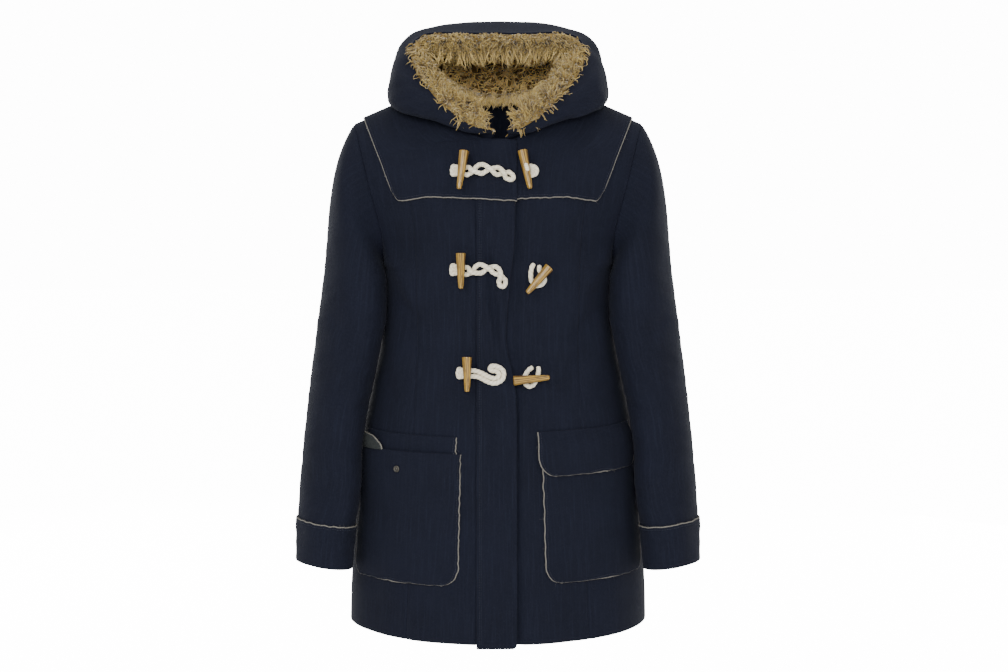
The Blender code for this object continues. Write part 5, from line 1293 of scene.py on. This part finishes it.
def lock_set(name, roots, ways, chance, count, seed, long_range, pull, inner):
    """Curly locks on the lining as one mesh. Each lock is a tapered three-sided tube along a coil that
    leaves the pile, leans with its neighbours and bends over: middle(t) = root + lift(t) + radius(t)
    (cos, sin)(turns t). pull is added to the way in which each lock leans, and inner marks locks that
    stand deep in the hood, which get painted light there: a paler colour for the light that falls little.
    """
    luck = np.random.default_rng(seed)
    rows, columns = chance.shape
    tries = LOCK_TRIES * count
    row, column = luck.uniform(0, rows - 1.001, tries), luck.uniform(0, columns - 1.001, tries)
    area = np.linalg.norm(np.cross(*(np.gradient(roots, axis=k) for k in (0, 1))), axis=-1)
    odds = bilinear(area * chance, row, column)
    odds = odds * count / odds.sum()
    kept = np.flatnonzero(luck.uniform(size=len(row)) < odds)
    row, column, number = row[kept], column[kept], len(kept)
    place = lambda grid: bilinear(grid, row, column)
    up, root = unit(place(ways)), place(roots)
    to_rim = unit(place(np.gradient(roots, axis=0)))
    side = np.cross(up, to_rim)
    where = root[:, [0, 2]] / 0.020 + root[:, [1, 0]] / 0.027
    lean_turn = 2.6 * unevenness(where, seed) + luck.normal(0, 0.55, number)
    lean = to_rim * np.cos(lean_turn)[:, None] + side * np.sin(lean_turn)[:, None]
    lean = unit(lean + place(pull))
    across = unit(np.cross(up, lean))
    long = luck.uniform(*long_range, number)
    coil = luck.uniform(*LOCK_COIL, number)
    turns = luck.uniform(*LOCK_TURNS, number) * 2 * np.pi * np.sign(luck.uniform(-1, 1, number))
    begin = luck.uniform(0, 2 * np.pi, number)
    fat = luck.uniform(*LOCK_FAT, number)
    t = np.linspace(0, 1, LOCK_RINGS)[None, :]
    swing = begin[:, None] + turns[:, None] * t
    height = long[:, None] * LOCK_RISE * np.sin(t * np.pi * luck.uniform(0.45, 0.75, number)[:, None])
    run = long[:, None] * LOCK_RUN * t**1.25
    radius = coil[:, None] * (0.25 + 0.75 * np.sin(t * np.pi * 0.8))
    middle = root[:, None] + up[:, None] * (height - LOCK_SUNK + radius * 0.5 * np.cos(swing))[..., None]
    middle = middle + lean[:, None] * (run + radius * np.sin(swing))[..., None]
    middle = middle + across[:, None] * (radius * np.cos(swing))[..., None]
    along = unit(np.gradient(middle, axis=1))
    one = unit(np.cross(along, up[:, None] + 0.01))
    two = np.cross(along, one)
    girth = fat[:, None] * (1.02 - t) ** 0.75 * (0.7 + 0.6 * t)
    rings = middle[:, :, None] + girth[..., None, None] * around(one, two, THREE_SIDES)
    index = np.arange(rings[..., 0].size).reshape(rings.shape[:3])
    marks = {
        "tone": np.repeat(luck.uniform(0, 1, number), LOCK_RINGS * 3),
        "tip": np.broadcast_to(0.12 + 0.88 * t[..., None], rings.shape[:3]).ravel(),
        # painted light: how much paler the lock is made deep in the hood
        "inner": np.repeat(place(inner), LOCK_RINGS * 3),
    }
    declare(mesh_object(name, rings, tube_faces(index), curly_pile, marks=marks), "curly_fur")


def bilinear(grid, row, column):
    """A grid read between its points."""
    r, c = row.astype(int), column.astype(int)
    u, v = row - r, column - c
    if grid.ndim == 3:
        u, v = u[:, None], v[:, None]
    low = grid[r, c] * (1 - v) + grid[r, c + 1] * v
    high = grid[r + 1, c] * (1 - v) + grid[r + 1, c + 1] * v
    return low * (1 - u) + high * u


# --- toggles, cords and stud ---
def frame_to(direction):
    """Rotation that takes +Z to the direction."""
    z = unit(np.asarray(direction, float))
    x = unit(np.cross([0.0, 1.0, 0.0], z))
    return np.stack([x, np.cross(z, x), z], axis=1)


def top_cloth(x, z):
    """How far the topmost cloth stands over the front there, yoke and placket counted."""
    on_yoke = z > YOKE_BOTTOM[0].z
    on_placket = ease((x - PLACKET_SEAM_X + 0.022) / 0.014) * ease((0.031 - x) / 0.006)
    return np.where(on_yoke, YOKE_LIFT + YOKE_PLACKET_STEP * on_placket, PLACKET_LIFT * on_placket)


def turned(name, profile, sides, place, turn, finish, wobble=None):
    """A turned solid: the profile's radii and heights carried round its axis, closed at both poles."""
    radius, height = np.array(profile).T
    angle = np.linspace(0, 2 * np.pi, sides, endpoint=False)
    rings = np.stack([radius[:, None] * np.cos(angle), radius[:, None] * np.sin(angle),
                      np.broadcast_to(height[:, None], (len(radius), sides))], -1)
    if wobble is not None:
        rings[..., :2] *= 1 + wobble(angle[None, :], height[:, None])[..., None]
    count = len(radius) * sides
    poles = np.array([[0, 0, height[0]], [0, 0, height[-1]]])
    points = np.concatenate([rings.reshape(-1, 3), poles]) @ turn.T + place
    index = np.arange(count).reshape(len(radius), sides)
    after = np.roll(index, -1, axis=1)
    low = np.stack([after[0], index[0], np.full(sides, count)], -1)
    high = np.stack([index[-1], after[-1], np.full(sides, count + 1)], -1)
    faces = tube_faces(index, ends=False) + low.tolist() + high.tolist()
    along = np.concatenate([np.repeat(height, sides), height[[0, -1]]])
    side_way = np.concatenate([rings[..., 0].ravel(), [0, 0]])
    depth_way = np.concatenate([rings[..., 1].ravel(), [0, 0]])
    own = np.stack([side_way, depth_way, along], -1)
    made = mesh_object(name, points, faces, finish, marks={"grain": own})
    made.data.set_sharp_from_angle(angle=math.radians(55))
    return made


def make_toggle(key, toggle):
    """A tapered peg, slightly swollen, with softly rounded rims, lying over its cord."""
    lift = toggle.lift + top_cloth(np.float64(toggle.big_x), np.float64(toggle.big_z))
    big, _ = front_point(toggle.big_x, toggle.big_z, lift)
    small, _ = front_point(toggle.small_x, toggle.small_z, lift)
    length = float(np.linalg.norm(big - small))
    share = np.linspace(0, 1, 26)
    radius = TOGGLE_SMALL_R + (TOGGLE_BIG_R - TOGGLE_SMALL_R) * share**0.92
    radius = radius + 0.00025 * np.sin(np.pi * share)
    height = -length / 2 + length * share
    bend = np.radians([0, 22, 45, 68, 90])
    low_round, high_round = 0.0013, 0.0009
    rounded = lambda r, h, size, t: (r - abs(size) * (1 - math.sin(t)), h + size * (1 - math.cos(t)))
    start = [rounded(radius[0], height[0], low_round, t) for t in bend]
    end = [rounded(radius[-1], height[-1], -high_round, t) for t in bend[::-1]]
    middle = [(r, h) for r, h in zip(radius, height) if height[0] + 0.0016 < h < height[-1] - 0.0014]
    flat = [(start[0][0] * 0.5, height[0])]
    top = [(end[-1][0] * 0.5, height[-1])]
    facets = lambda angle, h: 0.006 * np.sin(3 * angle + 1) + 0.004 * np.sin(7 * angle + 60 * h)
    turn = frame_to(big - small)
    profile, node = flat + start + middle + end + top, "toggle_" + key
    made = turned(node + "_wood", profile, TOGGLE_SIDES, (big + small) / 2, turn, honey_wood, facets)
    declare(made, "toggle_wood", node)


def cloth_route(x, z, lift):
    """Points over the topmost cloth at the places x, z seen from the front, and the cloth's normals."""
    return front_point(x, z, lift + top_cloth(x, z))


def rope(name, node, points, normals, radius, closed, seed):
    """A soft two-strand rope along a line: its section is a round with two bulges that turn along it."""
    if closed:
        points = np.concatenate([points, points[:1]])
        normals = np.concatenate([normals, normals[:1]])
    run = run_along(points[None], 1)[0]
    at = np.linspace(0, run[-1], int(run[-1] / ROPE_STEP) + 1)
    line, up = read_line(at, run, points), unit(read_line(at, run, normals))
    along = np.gradient(line, axis=0)
    if closed:
        line, up = line[:-1], up[:-1]
        along = np.roll(line, -1, 0) - np.roll(line, 1, 0)
        for _ in range(3):
            line = (np.roll(line, 1, 0) + 2 * line + np.roll(line, -1, 0)) / 4
        at = at[:-1]
    along = unit(along)
    side = unit(np.cross(along, up))
    up = np.cross(side, along)
    angle = np.linspace(0, 2 * np.pi, ROPE_SIDES, endpoint=False)[None, :]
    whole = at[-1] + ROPE_STEP * closed
    turns = max(2, round(whole / ROPE_LAY)) * 2 * np.pi
    twist = at[:, None] / whole * turns
    bulge = np.abs(np.cos(angle - twist))
    place = np.stack(np.broadcast_arrays(at[:, None] / 0.006, np.cos(angle) + seed), -1)
    soft = 0.05 * unevenness(place, seed)
    size = radius * (0.90 + 0.13 * bulge + soft)
    if not closed:
        near_end = np.clip(1 - np.minimum(at, at[-1] - at) / ROPE_END_ROUND, 0, 1)
        size = size * np.sqrt(np.clip(1 - near_end**2, 0.05, 1))[:, None]
    rings = line[:, None] + size[..., None] * around(side, up, angle[0])
    index = np.arange(rings[..., 0].size).reshape(rings.shape[:2])
    loops = np.concatenate([index, index[:1]]) if closed else index
    lay = np.stack(np.broadcast_arrays(at[:, None], angle, twist), -1).reshape(-1, 3)
    marks = {"lay": lay, "groove": (1 - bulge).ravel()}
    made = mesh_object(name, rings, tube_faces(loops, ends=not closed), cream_rope, marks=marks)
    declare(made, "cream_cord", node)


def braid_strands(rows, end_radius):
    """The closed line of a doubled cord: out along one strand, round the end loop and back along the
    other.
    """
    table = np.array(rows, float)
    smooth = spline(table, np.linspace(0, 1, 12 * len(rows)))
    middle, spread, over = smooth[:, :2], smooth[:, 2], smooth[:, 3]
    along = unit(np.gradient(middle, axis=0))
    across = np.stack([-along[:, 1], along[:, 0]], axis=1)
    one = middle + across * spread[:, None]
    two = middle - across * spread[:, None]
    one_lift = CORD_LIFT + np.clip(over, 0, None)
    two_lift = CORD_LIFT + np.clip(-over, 0, None)
    bend = np.linspace(0, np.pi, 9)[1:-1, None]
    half_end, half_start = (one[-1] - two[-1]) / 2, (one[0] - two[0]) / 2
    out_tip = middle[-1] + half_end * np.cos(bend) + along[-1] * end_radius * np.sin(bend)
    back_tip = middle[0] - half_start * np.cos(bend) - along[0] * 0.6 * CORD_R * np.sin(bend)
    flat = np.vstack([one, out_tip, two[::-1], back_tip])
    rest = np.full(len(bend), CORD_LIFT)
    lift = np.concatenate([one_lift, rest, two_lift[::-1], rest])
    return cloth_route(flat[:, 0], flat[:, 1], lift)


def open_rope(node, part, line, radius, lift=CORD_LIFT, count=20, seed=5):
    """A rope with two ends that lies on the cloth along a line of x and z."""
    flat = spline(np.array(line), np.linspace(0, 1, count))
    points, normals = cloth_route(flat[:, 0], flat[:, 1], np.full(len(flat), lift))
    rope(node + part, node, points, normals, radius, False, seed)


def make_cords():
    for key, rows in BRAIDS.items():
        node = "toggle_cord_" + key
        points, normals = braid_strands(rows, BRAID_ENDS[key])
        rope(node + "_rope", node, points, normals, CORD_R * ROPE_SWELL, True, len(rows))
        open_rope(node, "_core", [(rows[0].x + reach, rows[0].z) for reach in CORE_REACH], CORD_R)
    for key, route in LOOPS.items():
        count = len(route)
        open_rope("toggle_cord_" + key, "_rope", route, CORD_R * ROPE_SWELL, count=12 * count, seed=count + 7)
    open_rope("toggle_cord_left_1", "_core", LEFT_ANCHOR, CORD_R * 1.1)
    open_rope("toggle_cord_left_1", "_over", OVER_TOGGLE, CORD_R * 0.92, OVER_TOGGLE_LIFT)


def make_stud():
    """The press stud on the wearer's right pocket: a rolled ring with a sunk middle and a small raised
    button.
    """
    place, normal = front_point(STUD_X, STUD_Z, LAYER + LAYER_GAP + STUD_LIFT)
    profile = [(r * STUD_R, h) for r, h in STUD_PROFILE]
    made = turned("pocket_stud_metal", profile, STUD_SIDES, place, frame_to(normal), worn_brass)
    declare(made, "aged_brass", "pocket_stud")


# --- sewing threads and frayed edges ---
def beads(points, normals, along):
    """Short rounded stitches: an oval tube of three sides on each of the given places."""
    side = np.cross(along, normals)
    t = np.array([-0.5, -0.28, 0.28, 0.5])[None, :, None, None]
    girth = np.array([0.25, 1.0, 1.0, 0.25])[None, :, None, None] * STITCH_R
    ring = around(side[:, None], normals[:, None], THREE_SIDES + np.pi / 2)
    rings = points[:, None, None] + along[:, None, None] * t * STITCH_LONG + ring * girth
    number = np.arange(rings[..., 0].size).reshape(rings.shape[:3])
    declare(mesh_object("navy_stitches", rings, tube_faces(number), navy_thread), "navy_cloth")


def sewn_line(points, normals):
    """Places, normals and directions of stitches along a line on the cloth."""
    run = run_along(points[None], 1)[0]
    at = np.arange(STITCH_PITCH / 2, run[-1], STITCH_PITCH)
    along = unit(np.gradient(points, axis=0))
    return read_line(at, run, points), unit(read_line(at, run, normals)), unit(read_line(at, run, along))


def make_stitches():
    """Rows of navy stitches: two beside the placket seam and one inside each cut edge."""
    lines = []
    level = np.linspace(0.0, 1 + NECK_FRONT_LEVEL - 0.03, 160)
    for inset in SEAM_STITCH_INSETS:
        x = np.full_like(level, PLACKET_SEAM_X + inset)
        lines.append(torso_layer(beta_at(x, level), level, PLACKET_LIFT + 0.0002))
    for points, normals, away in CUT_EDGES:
        lines.append((points - away * EDGE_STITCH_INSET + normals * 0.0003, normals))
    beads(*(np.concatenate(values) for values in zip(*(sewn_line(*line) for line in lines))))


def make_fray():
    """Short loose fibres along every cut edge: three-sided needles that lean out of it, as one mesh."""
    luck = np.random.default_rng(83)
    tips = []
    for points, normals, away in CUT_EDGES:
        run = run_along(points[None], 1)[0]
        at = np.sort(luck.uniform(0, run[-1], int(run[-1] / FRAY_PITCH)))
        root, normal, out = (read_line(at, run, values) for values in (points, normals, away))
        normal, out = unit(normal), unit(out)
        along = np.cross(normal, out)
        root = root - normal * luck.uniform(0, LAYER, len(at))[:, None] + out * LAYER * 0.35
        lean = luck.normal(0, 0.9, len(at))[:, None] * along
        lean = lean + luck.normal(0.15, 0.4, len(at))[:, None] * normal
        long = np.minimum(luck.gamma(2.2, 0.00042, len(at)), FRAY_LONG)
        is_loose = luck.uniform(size=len(at)) < LOOSE_SHARE
        long = np.where(is_loose, luck.uniform(*LOOSE_LONG, len(at)), long)
        tips.append(np.stack([root, unit(out + lean) * long[:, None]], 1))
    root, reach = np.concatenate(tips).transpose(1, 0, 2)
    one = unit(np.cross(reach, [0.3, 0.5, 0.8]))
    two = unit(np.cross(reach, one))
    base = root[:, None] + FRAY_R * around(one, two, THREE_SIDES)
    points = np.concatenate([base, (root + reach)[:, None]], axis=1)
    number = np.arange(4 * len(root)).reshape(-1, 4)
    faces = np.concatenate([number[:, pick] for pick in ((0, 1, 3), (1, 2, 3), (2, 0, 3), (0, 2, 1))])
    declare(mesh_object("frayed_fibres", points, faces, raw_fibre), "navy_cloth")


# --- finishes ---
def feed(tree, sockets, values):
    """Sets sockets to values, or joins them to other nodes' sockets."""
    for key, value in values.items():
        if isinstance(value, bpy.types.NodeSocket):
            tree.links.new(value, sockets[key])
        else:
            sockets[key].default_value = value


def put(tree, kind, inputs=None, **settings):
    """A node with its settings and inputs."""
    made = tree.nodes.new(kind)
    for key, value in settings.items():
        setattr(made, key, value)
    feed(tree, made.inputs, inputs or {})
    return made


def object_place(tree):
    return put(tree, "ShaderNodeTexCoord").outputs["Object"]


def maths(tree, operation, *values, clamp=False):
    inputs = dict(enumerate(values))
    return put(tree, "ShaderNodeMath", inputs, operation=operation, use_clamp=clamp).outputs[0]


def blend_colours(tree, share, first, second, kind="MIX"):
    inputs = {0: share, 6: first, 7: second}
    return put(tree, "ShaderNodeMix", inputs, data_type="RGBA", blend_type=kind).outputs[2]


def span(tree, value, low, high, out_low=0.0, out_high=1.0):
    inputs = {0: value, 1: low, 2: high, 3: out_low, 4: out_high}
    return put(tree, "ShaderNodeMapRange", inputs, clamp=True).outputs[0]


def noise(tree, vector, scale, detail=3.0, rough=0.55, twist=0.0):
    values = {"Vector": vector, "Scale": scale, "Detail": detail, "Roughness": rough, "Distortion": twist}
    return put(tree, "ShaderNodeTexNoise", values).outputs["Fac"]


def group(name, takes, gives):
    """An empty node group with named inputs and outputs."""
    made = bpy.data.node_groups.new(name, "ShaderNodeTree")
    for key, kind, value in takes:
        socket = made.interface.new_socket(name=key, in_out="INPUT", socket_type=kind)
        if value is not None:
            socket.default_value = value
    for key, kind in gives:
        made.interface.new_socket(name=key, in_out="OUTPUT", socket_type=kind)
    return made, made.nodes.new("NodeGroupInput"), made.nodes.new("NodeGroupOutput")


def make_twill():
    """Slanting ridges of a twill and the threads that cross them, from the place on the flat cloth in
    metres.
    """
    tree, takes, gives = group(
        "twill_weave",
        [("Place", "NodeSocketVector", None), ("Pitch", "NodeSocketFloat", 0.0011)],
        [("Ridges", "NodeSocketFloat"), ("Threads", "NodeSocketFloat")],
    )
    place = put(tree, "ShaderNodeSeparateXYZ", {0: takes.outputs["Place"]})
    u = maths(tree, "DIVIDE", place.outputs[0], takes.outputs["Pitch"])
    v = maths(tree, "DIVIDE", place.outputs[1], takes.outputs["Pitch"])
    slant = times(tree, maths(tree, "ADD", u, times(tree, v, 0.8)), 2 * math.pi)
    ridges = wave(tree, slant, 0.5, 0.5)
    cross = times(tree, maths(tree, "SUBTRACT", v, times(tree, u, 0.15)), 4 * math.pi)
    threads = times(tree, ridges, wave(tree, cross, 0.3, 0.7))
    feed(tree, gives.inputs, {"Ridges": ridges, "Threads": threads})
    return tree


def make_fibres():
    """Loose fibres and patches: fine flecks, a matted nap and slow shade changes, all from 0 to 1."""
    tree, takes, gives = group(
        "fibre_shade",
        [("Vector", "NodeSocketVector", None), ("Fineness", "NodeSocketFloat", 1.0)],
        [("Flecks", "NodeSocketFloat"), ("Nap", "NodeSocketFloat"), ("Patches", "NodeSocketFloat")],
    )
    vector = put(tree, "ShaderNodeVectorMath", {0: takes.outputs["Vector"], 3: takes.outputs["Fineness"]},
                 operation="SCALE").outputs[0]
    flecks = span(tree, noise(tree, vector, 900.0, 2.0, 0.7), 0.56, 0.74)
    nap = noise(tree, vector, 420.0, 5.0, 0.65, 0.8)
    patches = span(tree, noise(tree, vector, 17.0, 3.0, 0.5), 0.3, 0.7)
    feed(tree, gives.inputs, {"Flecks": flecks, "Nap": nap, "Patches": patches})
    return tree


def finish(name, roughness, metallic=0.0):
    """A material, its node tree and its shader."""
    made = bpy.data.materials.new(name)
    made.use_nodes = True
    tree = made.node_tree
    shader = tree.nodes["Principled BSDF"]
    feed(tree, shader.inputs, {"Roughness": roughness, "Metallic": metallic})
    return made, tree, shader


def bump(tree, height, depth, strength=1.0):
    return put(tree, "ShaderNodeBump", {"Strength": strength, "Distance": depth, "Height": height}).outputs[0]


def wave(tree, value, half, middle):
    """A sine of the value, scaled by half its height and raised to its middle."""
    return maths(tree, "MULTIPLY_ADD", maths(tree, "SINE", value), half, middle)


def times(tree, one, two):
    return maths(tree, "MULTIPLY", one, two)


def use(tree, shared, vector, fineness):
    """The shared fibre shades, at a place and a fineness."""
    inputs = {"Vector": vector, "Fineness": fineness}
    return put(tree, "ShaderNodeGroup", inputs, node_tree=shared).outputs


def mark(tree, name, output="Fac"):
    return put(tree, "ShaderNodeAttribute", attribute_name=name).outputs[output]


def make_wool(twill, fibres):
    """Navy wool twill, grey on its reverse and beige where it is cut."""
    made, tree, shader = finish("navy_wool", 0.88)
    place = put(tree, "ShaderNodeUVMap", uv_map="cloth").outputs["UV"]
    weave = put(tree, "ShaderNodeGroup", {"Place": place, "Pitch": 0.00115}, node_tree=twill).outputs
    shade = use(tree, fibres, object_place(tree), 1.0)
    navy = blend_colours(tree, shade["Patches"], NAVY_DEEP, NAVY_SOFT)
    navy = blend_colours(tree, times(tree, weave["Threads"], 0.5), navy, NAVY_RIDGE)
    stretched = put(tree, "ShaderNodeMapping", {"Vector": place, "Scale": (380.0, 15.0, 1.0)}).outputs[0]
    slub = span(tree, noise(tree, stretched, 1.0, 2.0), 0.5, 0.75, 0.0, 0.8)
    navy = blend_colours(tree, slub, navy, NAVY_RIDGE)
    navy = blend_colours(tree, times(tree, shade["Flecks"], 0.35), navy, NAVY_FLECK)
    grey = blend_colours(tree, shade["Nap"], REVERSE_DARK, REVERSE_PALE)
    turned_over = span(tree, mark(tree, "reverse"), 1.2, 1.8)
    colour = blend_colours(tree, turned_over, navy, grey)
    cut = blend_colours(tree, shade["Nap"], RAW_DARK, RAW_PALE)
    ragged = maths(tree, "MULTIPLY_ADD", noise(tree, object_place(tree), 700.0, 3.0), 0.7, -0.35)
    raw = span(tree, maths(tree, "ADD", mark(tree, "raw"), ragged), 0.42, 0.72)
    raw = times(tree, raw, span(tree, mark(tree, "raw"), 0.02, 0.2))
    height = maths(tree, "ADD", times(tree, weave["Threads"], 0.55), times(tree, shade["Nap"], 0.9))
    feed(tree, shader.inputs, {
        "Base Color": blend_colours(tree, raw, colour, cut),
        "Roughness": span(tree, shade["Nap"], 0.2, 0.8, 0.80, 0.97),
        "Sheen Weight": 0.025, "Sheen Roughness": 0.45, "Sheen Tint": (0.55, 0.60, 0.75, 1.0),
        "Specular IOR Level": 0.16, "Normal": bump(tree, height, 0.00022, 0.75),
    })
    return made


def make_pile(fibres):
    """Curly tan pile with painted shade, dark at the roots and pale at the tips, each lock with a tone of its
    own.
    """
    made, tree, shader = finish("curly_pile", 0.85)
    shade = use(tree, fibres, object_place(tree), 0.8)
    clump = noise(tree, object_place(tree), 95.0, 2.0, 0.5, 0.6)
    tone = maths(tree, "ADD", mark(tree, "tone"), maths(tree, "MULTIPLY_ADD", clump, 0.9, -0.45), clamp=True)
    body = blend_colours(tree, tone, PILE_BROWN, PILE_TAN)
    tips = blend_colours(tree, tone, PILE_TAN, PILE_PALE)
    # painted shade: each lock darkens towards its root, where its neighbours shade it, and lightens towards
    # its tip
    reach = span(tree, mark(tree, "tip"), 0.25, 0.95)
    colour = blend_colours(tree, reach, body, tips)
    roots = span(tree, mark(tree, "tip"), 0.1, 0.38, 0.6, 0.0)
    colour = blend_colours(tree, roots, colour, PILE_ROOT_PAINTED_SHADE)
    ground = blend_colours(tree, clump, PILE_BROWN, PILE_TAN)
    colour = blend_colours(tree, span(tree, mark(tree, "tip"), 0.0, 0.05), ground, colour)
    colour = blend_colours(tree, times(tree, shade["Flecks"], 0.35), colour, PILE_PALE)
    # painted light: deep in the hood little light falls, so the locks there are made paler to stand in for it
    colour = blend_colours(tree, mark(tree, "inner"), colour, PILE_PAINTED_LIGHT, "ADD")
    feed(tree, shader.inputs, {
        "Base Color": colour, "Sheen Weight": 0.35, "Sheen Roughness": 0.4, "Specular IOR Level": 0.3,
        "Normal": bump(tree, shade["Nap"], 0.0007, 0.8),
    })
    return made


def make_wood():
    """Honey-coloured wood, its grain running along the peg."""
    made, tree, shader = finish("honey_wood", 0.42)
    own = mark(tree, "grain", "Vector")
    drawn_out = {"Vector": own, "Location": (0.006, 0.003, 0), "Scale": (1, 1, 0.05)}
    long = put(tree, "ShaderNodeMapping", drawn_out).outputs[0]
    grain = {"Vector": long, "Scale": 120.0, "Distortion": 6.0, "Detail": 3.0, "Detail Scale": 1.4}
    rings = put(tree, "ShaderNodeTexWave", grain, wave_type="RINGS", rings_direction="Z").outputs["Fac"]
    pores = span(tree, noise(tree, long, 750.0, 3.0, 0.6), 0.54, 0.66)
    colour = blend_colours(tree, rings, WOOD_PALE, WOOD_DARK)
    colour = blend_colours(tree, times(tree, pores, 0.75), colour, WOOD_PORE)
    patches = noise(tree, own, 130.0, 2.0)
    colour = blend_colours(tree, span(tree, patches, 0.4, 0.75, 0.0, 0.45), colour, WOOD_WARM)
    feed(tree, shader.inputs, {
        "Base Color": colour, "Roughness": span(tree, pores, 0.0, 1.0, 0.36, 0.62), "Coat Weight": 0.30,
        "Normal": bump(tree, times(tree, pores, -1.0), 0.00012, 0.6),
    })
    return made


def make_rope_finish(fibres):
    """Cream cotton rope: fine yarns that run along the twisted strands, with painted shade in the grooves and
    between the yarns.
    """
    made, tree, shader = finish("cream_rope", 0.9)
    lay = put(tree, "ShaderNodeSeparateXYZ", {0: mark(tree, "lay", "Vector")})
    yarns = maths(tree, "SUBTRACT", lay.outputs[1], lay.outputs[2])
    yarns = maths(tree, "MULTIPLY_ADD", lay.outputs[0], 900.0, times(tree, yarns, 6.0))
    yarns = wave(tree, yarns, 0.5, 0.5)
    shade = use(tree, fibres, object_place(tree), 1.3)
    colour = blend_colours(tree, shade["Patches"], CREAM_SHADE, CREAM_LIGHT)
    # painted shade in the grooves between the strands and between the yarns
    groove = span(tree, mark(tree, "groove"), 0.35, 1.0, 0.0, 0.75)
    colour = blend_colours(tree, groove, colour, CREAM_GROOVE_PAINTED_SHADE)
    between = times(tree, maths(tree, "SUBTRACT", 1.0, yarns), 0.22)
    colour = blend_colours(tree, between, colour, CREAM_GROOVE_PAINTED_SHADE)
    height = maths(tree, "ADD", times(tree, yarns, 0.7), times(tree, shade["Nap"], 0.6))
    normal = bump(tree, height, 0.00025, 0.8)
    feed(tree, shader.inputs, {"Base Color": colour, "Sheen Weight": 0.15, "Normal": normal})
    return made


def make_brass(fibres):
    """Old brass with dull spots, paler where it is rubbed."""
    made, tree, shader = finish("worn_brass", 0.38, 1.0)
    shade = use(tree, fibres, object_place(tree), 1.6)
    colour = blend_colours(tree, shade["Patches"], BRASS_DULL, BRASS_BRIGHT)
    colour = blend_colours(tree, times(tree, shade["Flecks"], 0.5), colour, BRASS_DULL)
    rough = span(tree, shade["Nap"], 0.3, 0.7, 0.30, 0.55)
    normal = bump(tree, shade["Nap"], 0.00006, 0.5)
    feed(tree, shader.inputs, {"Base Color": colour, "Roughness": rough, "Normal": normal})
    return made


def make_thread(name, dark, pale, fibres):
    """Spun thread with a shade that changes from fibre to fibre."""
    made, tree, shader = finish(name, 0.8)
    shade = use(tree, fibres, object_place(tree), 1.5)
    colour = blend_colours(tree, shade["Nap"], dark, pale)
    feed(tree, shader.inputs, {"Base Color": colour, "Normal": bump(tree, shade["Nap"], 0.00008, 0.5)})
    return made


# --- floor, light and camera ---
def place_in_scene(made, place, aim):
    """Links an object to the scene at a place, turned so that it looks at its aim."""
    made.location = place
    made.rotation_euler = (Vector(aim) - Vector(place)).to_track_quat("-Z", "Y").to_euler()
    bpy.context.scene.collection.objects.link(made)


def make_stage():
    """A pale floor and backdrop, which only the camera sees glow, and the studio's lamps."""
    floor = bpy.data.meshes.new("floor")
    corners = [(x * FLOOR_HALF, y * FLOOR_HALF, FLOOR_Z) for x, y in ((-1, -1), (1, -1), (1, 1), (-1, 1))]
    floor.from_pydata(corners, [], [(0, 1, 2, 3)])
    pale, tree, shader = finish("pale_floor", 1.0)
    tint = noise(tree, object_place(tree), 3.0)
    seen = put(tree, "ShaderNodeLightPath").outputs["Is Camera Ray"]
    feed(tree, shader.inputs, {
        "Base Color": blend_colours(tree, tint, FLOOR_GREY, FLOOR_PALE), "Emission Color": WHITE,
        "Emission Strength": span(tree, seen, 0, 1, 0.0, FLOOR_GLOW),
    })
    floor.materials.append(pale)
    ground = bpy.data.objects.new("floor", floor)
    bpy.context.scene.collection.objects.link(ground)
    world = bpy.data.worlds.new("studio")
    world.use_nodes = True
    sky = world.node_tree
    seen = put(sky, "ShaderNodeLightPath").outputs["Is Camera Ray"]
    strength = span(sky, seen, 0, 1, WORLD_LIGHT, BACKDROP_LIGHT)
    feed(sky, sky.nodes["Background"].inputs, {"Color": WHITE, "Strength": strength})
    bpy.context.scene.world = world
    for name, place, size, power in LAMPS:
        light = bpy.data.lights.new(name, "AREA")
        light.shape = "RECTANGLE"
        light.size, light.size_y = size
        light.energy = power
        place_in_scene(bpy.data.objects.new(name, light), place, LAMP_AIM)


def make_camera():
    lens = bpy.data.cameras.new("camera")
    lens.sensor_width = SENSOR_MM
    lens.lens = SENSOR_MM * -CAMERA[1] / VIEW_WIDTH
    camera = bpy.data.objects.new("camera", lens)
    place_in_scene(camera, CAMERA, AIM)
    bpy.context.scene.camera = camera


make_stage()
make_camera()
twill_weave, fibre_shade = make_twill(), make_fibres()
navy_wool = make_wool(twill_weave, fibre_shade)
curly_pile = make_pile(fibre_shade)
honey_wood = make_wood()
cream_rope = make_rope_finish(fibre_shade)
worn_brass = make_brass(fibre_shade)
navy_thread = make_thread("navy_thread", THREAD_DARK, THREAD_PALE, fibre_shade)
raw_fibre = make_thread("raw_fibre", RAW_DARK, RAW_PALE, fibre_shade)

make_body()
make_placket()
yoke_front("yoke_front_right", -1, -YOKE_EDGE_X, 21)
yoke_front("yoke_front_left", 1, YOKE_EDGE_X + YOKE_EDGE_GAP, 22)
yoke_back()
make_pockets()
make_sleeve("sleeve_left", "cuff_left", 1)
make_sleeve("sleeve_right", "cuff_right", -1)
make_hood()
for key, toggle in TOGGLES.items():
    make_toggle(key, toggle)
make_cords()
make_stud()
make_stitches()
make_fray()
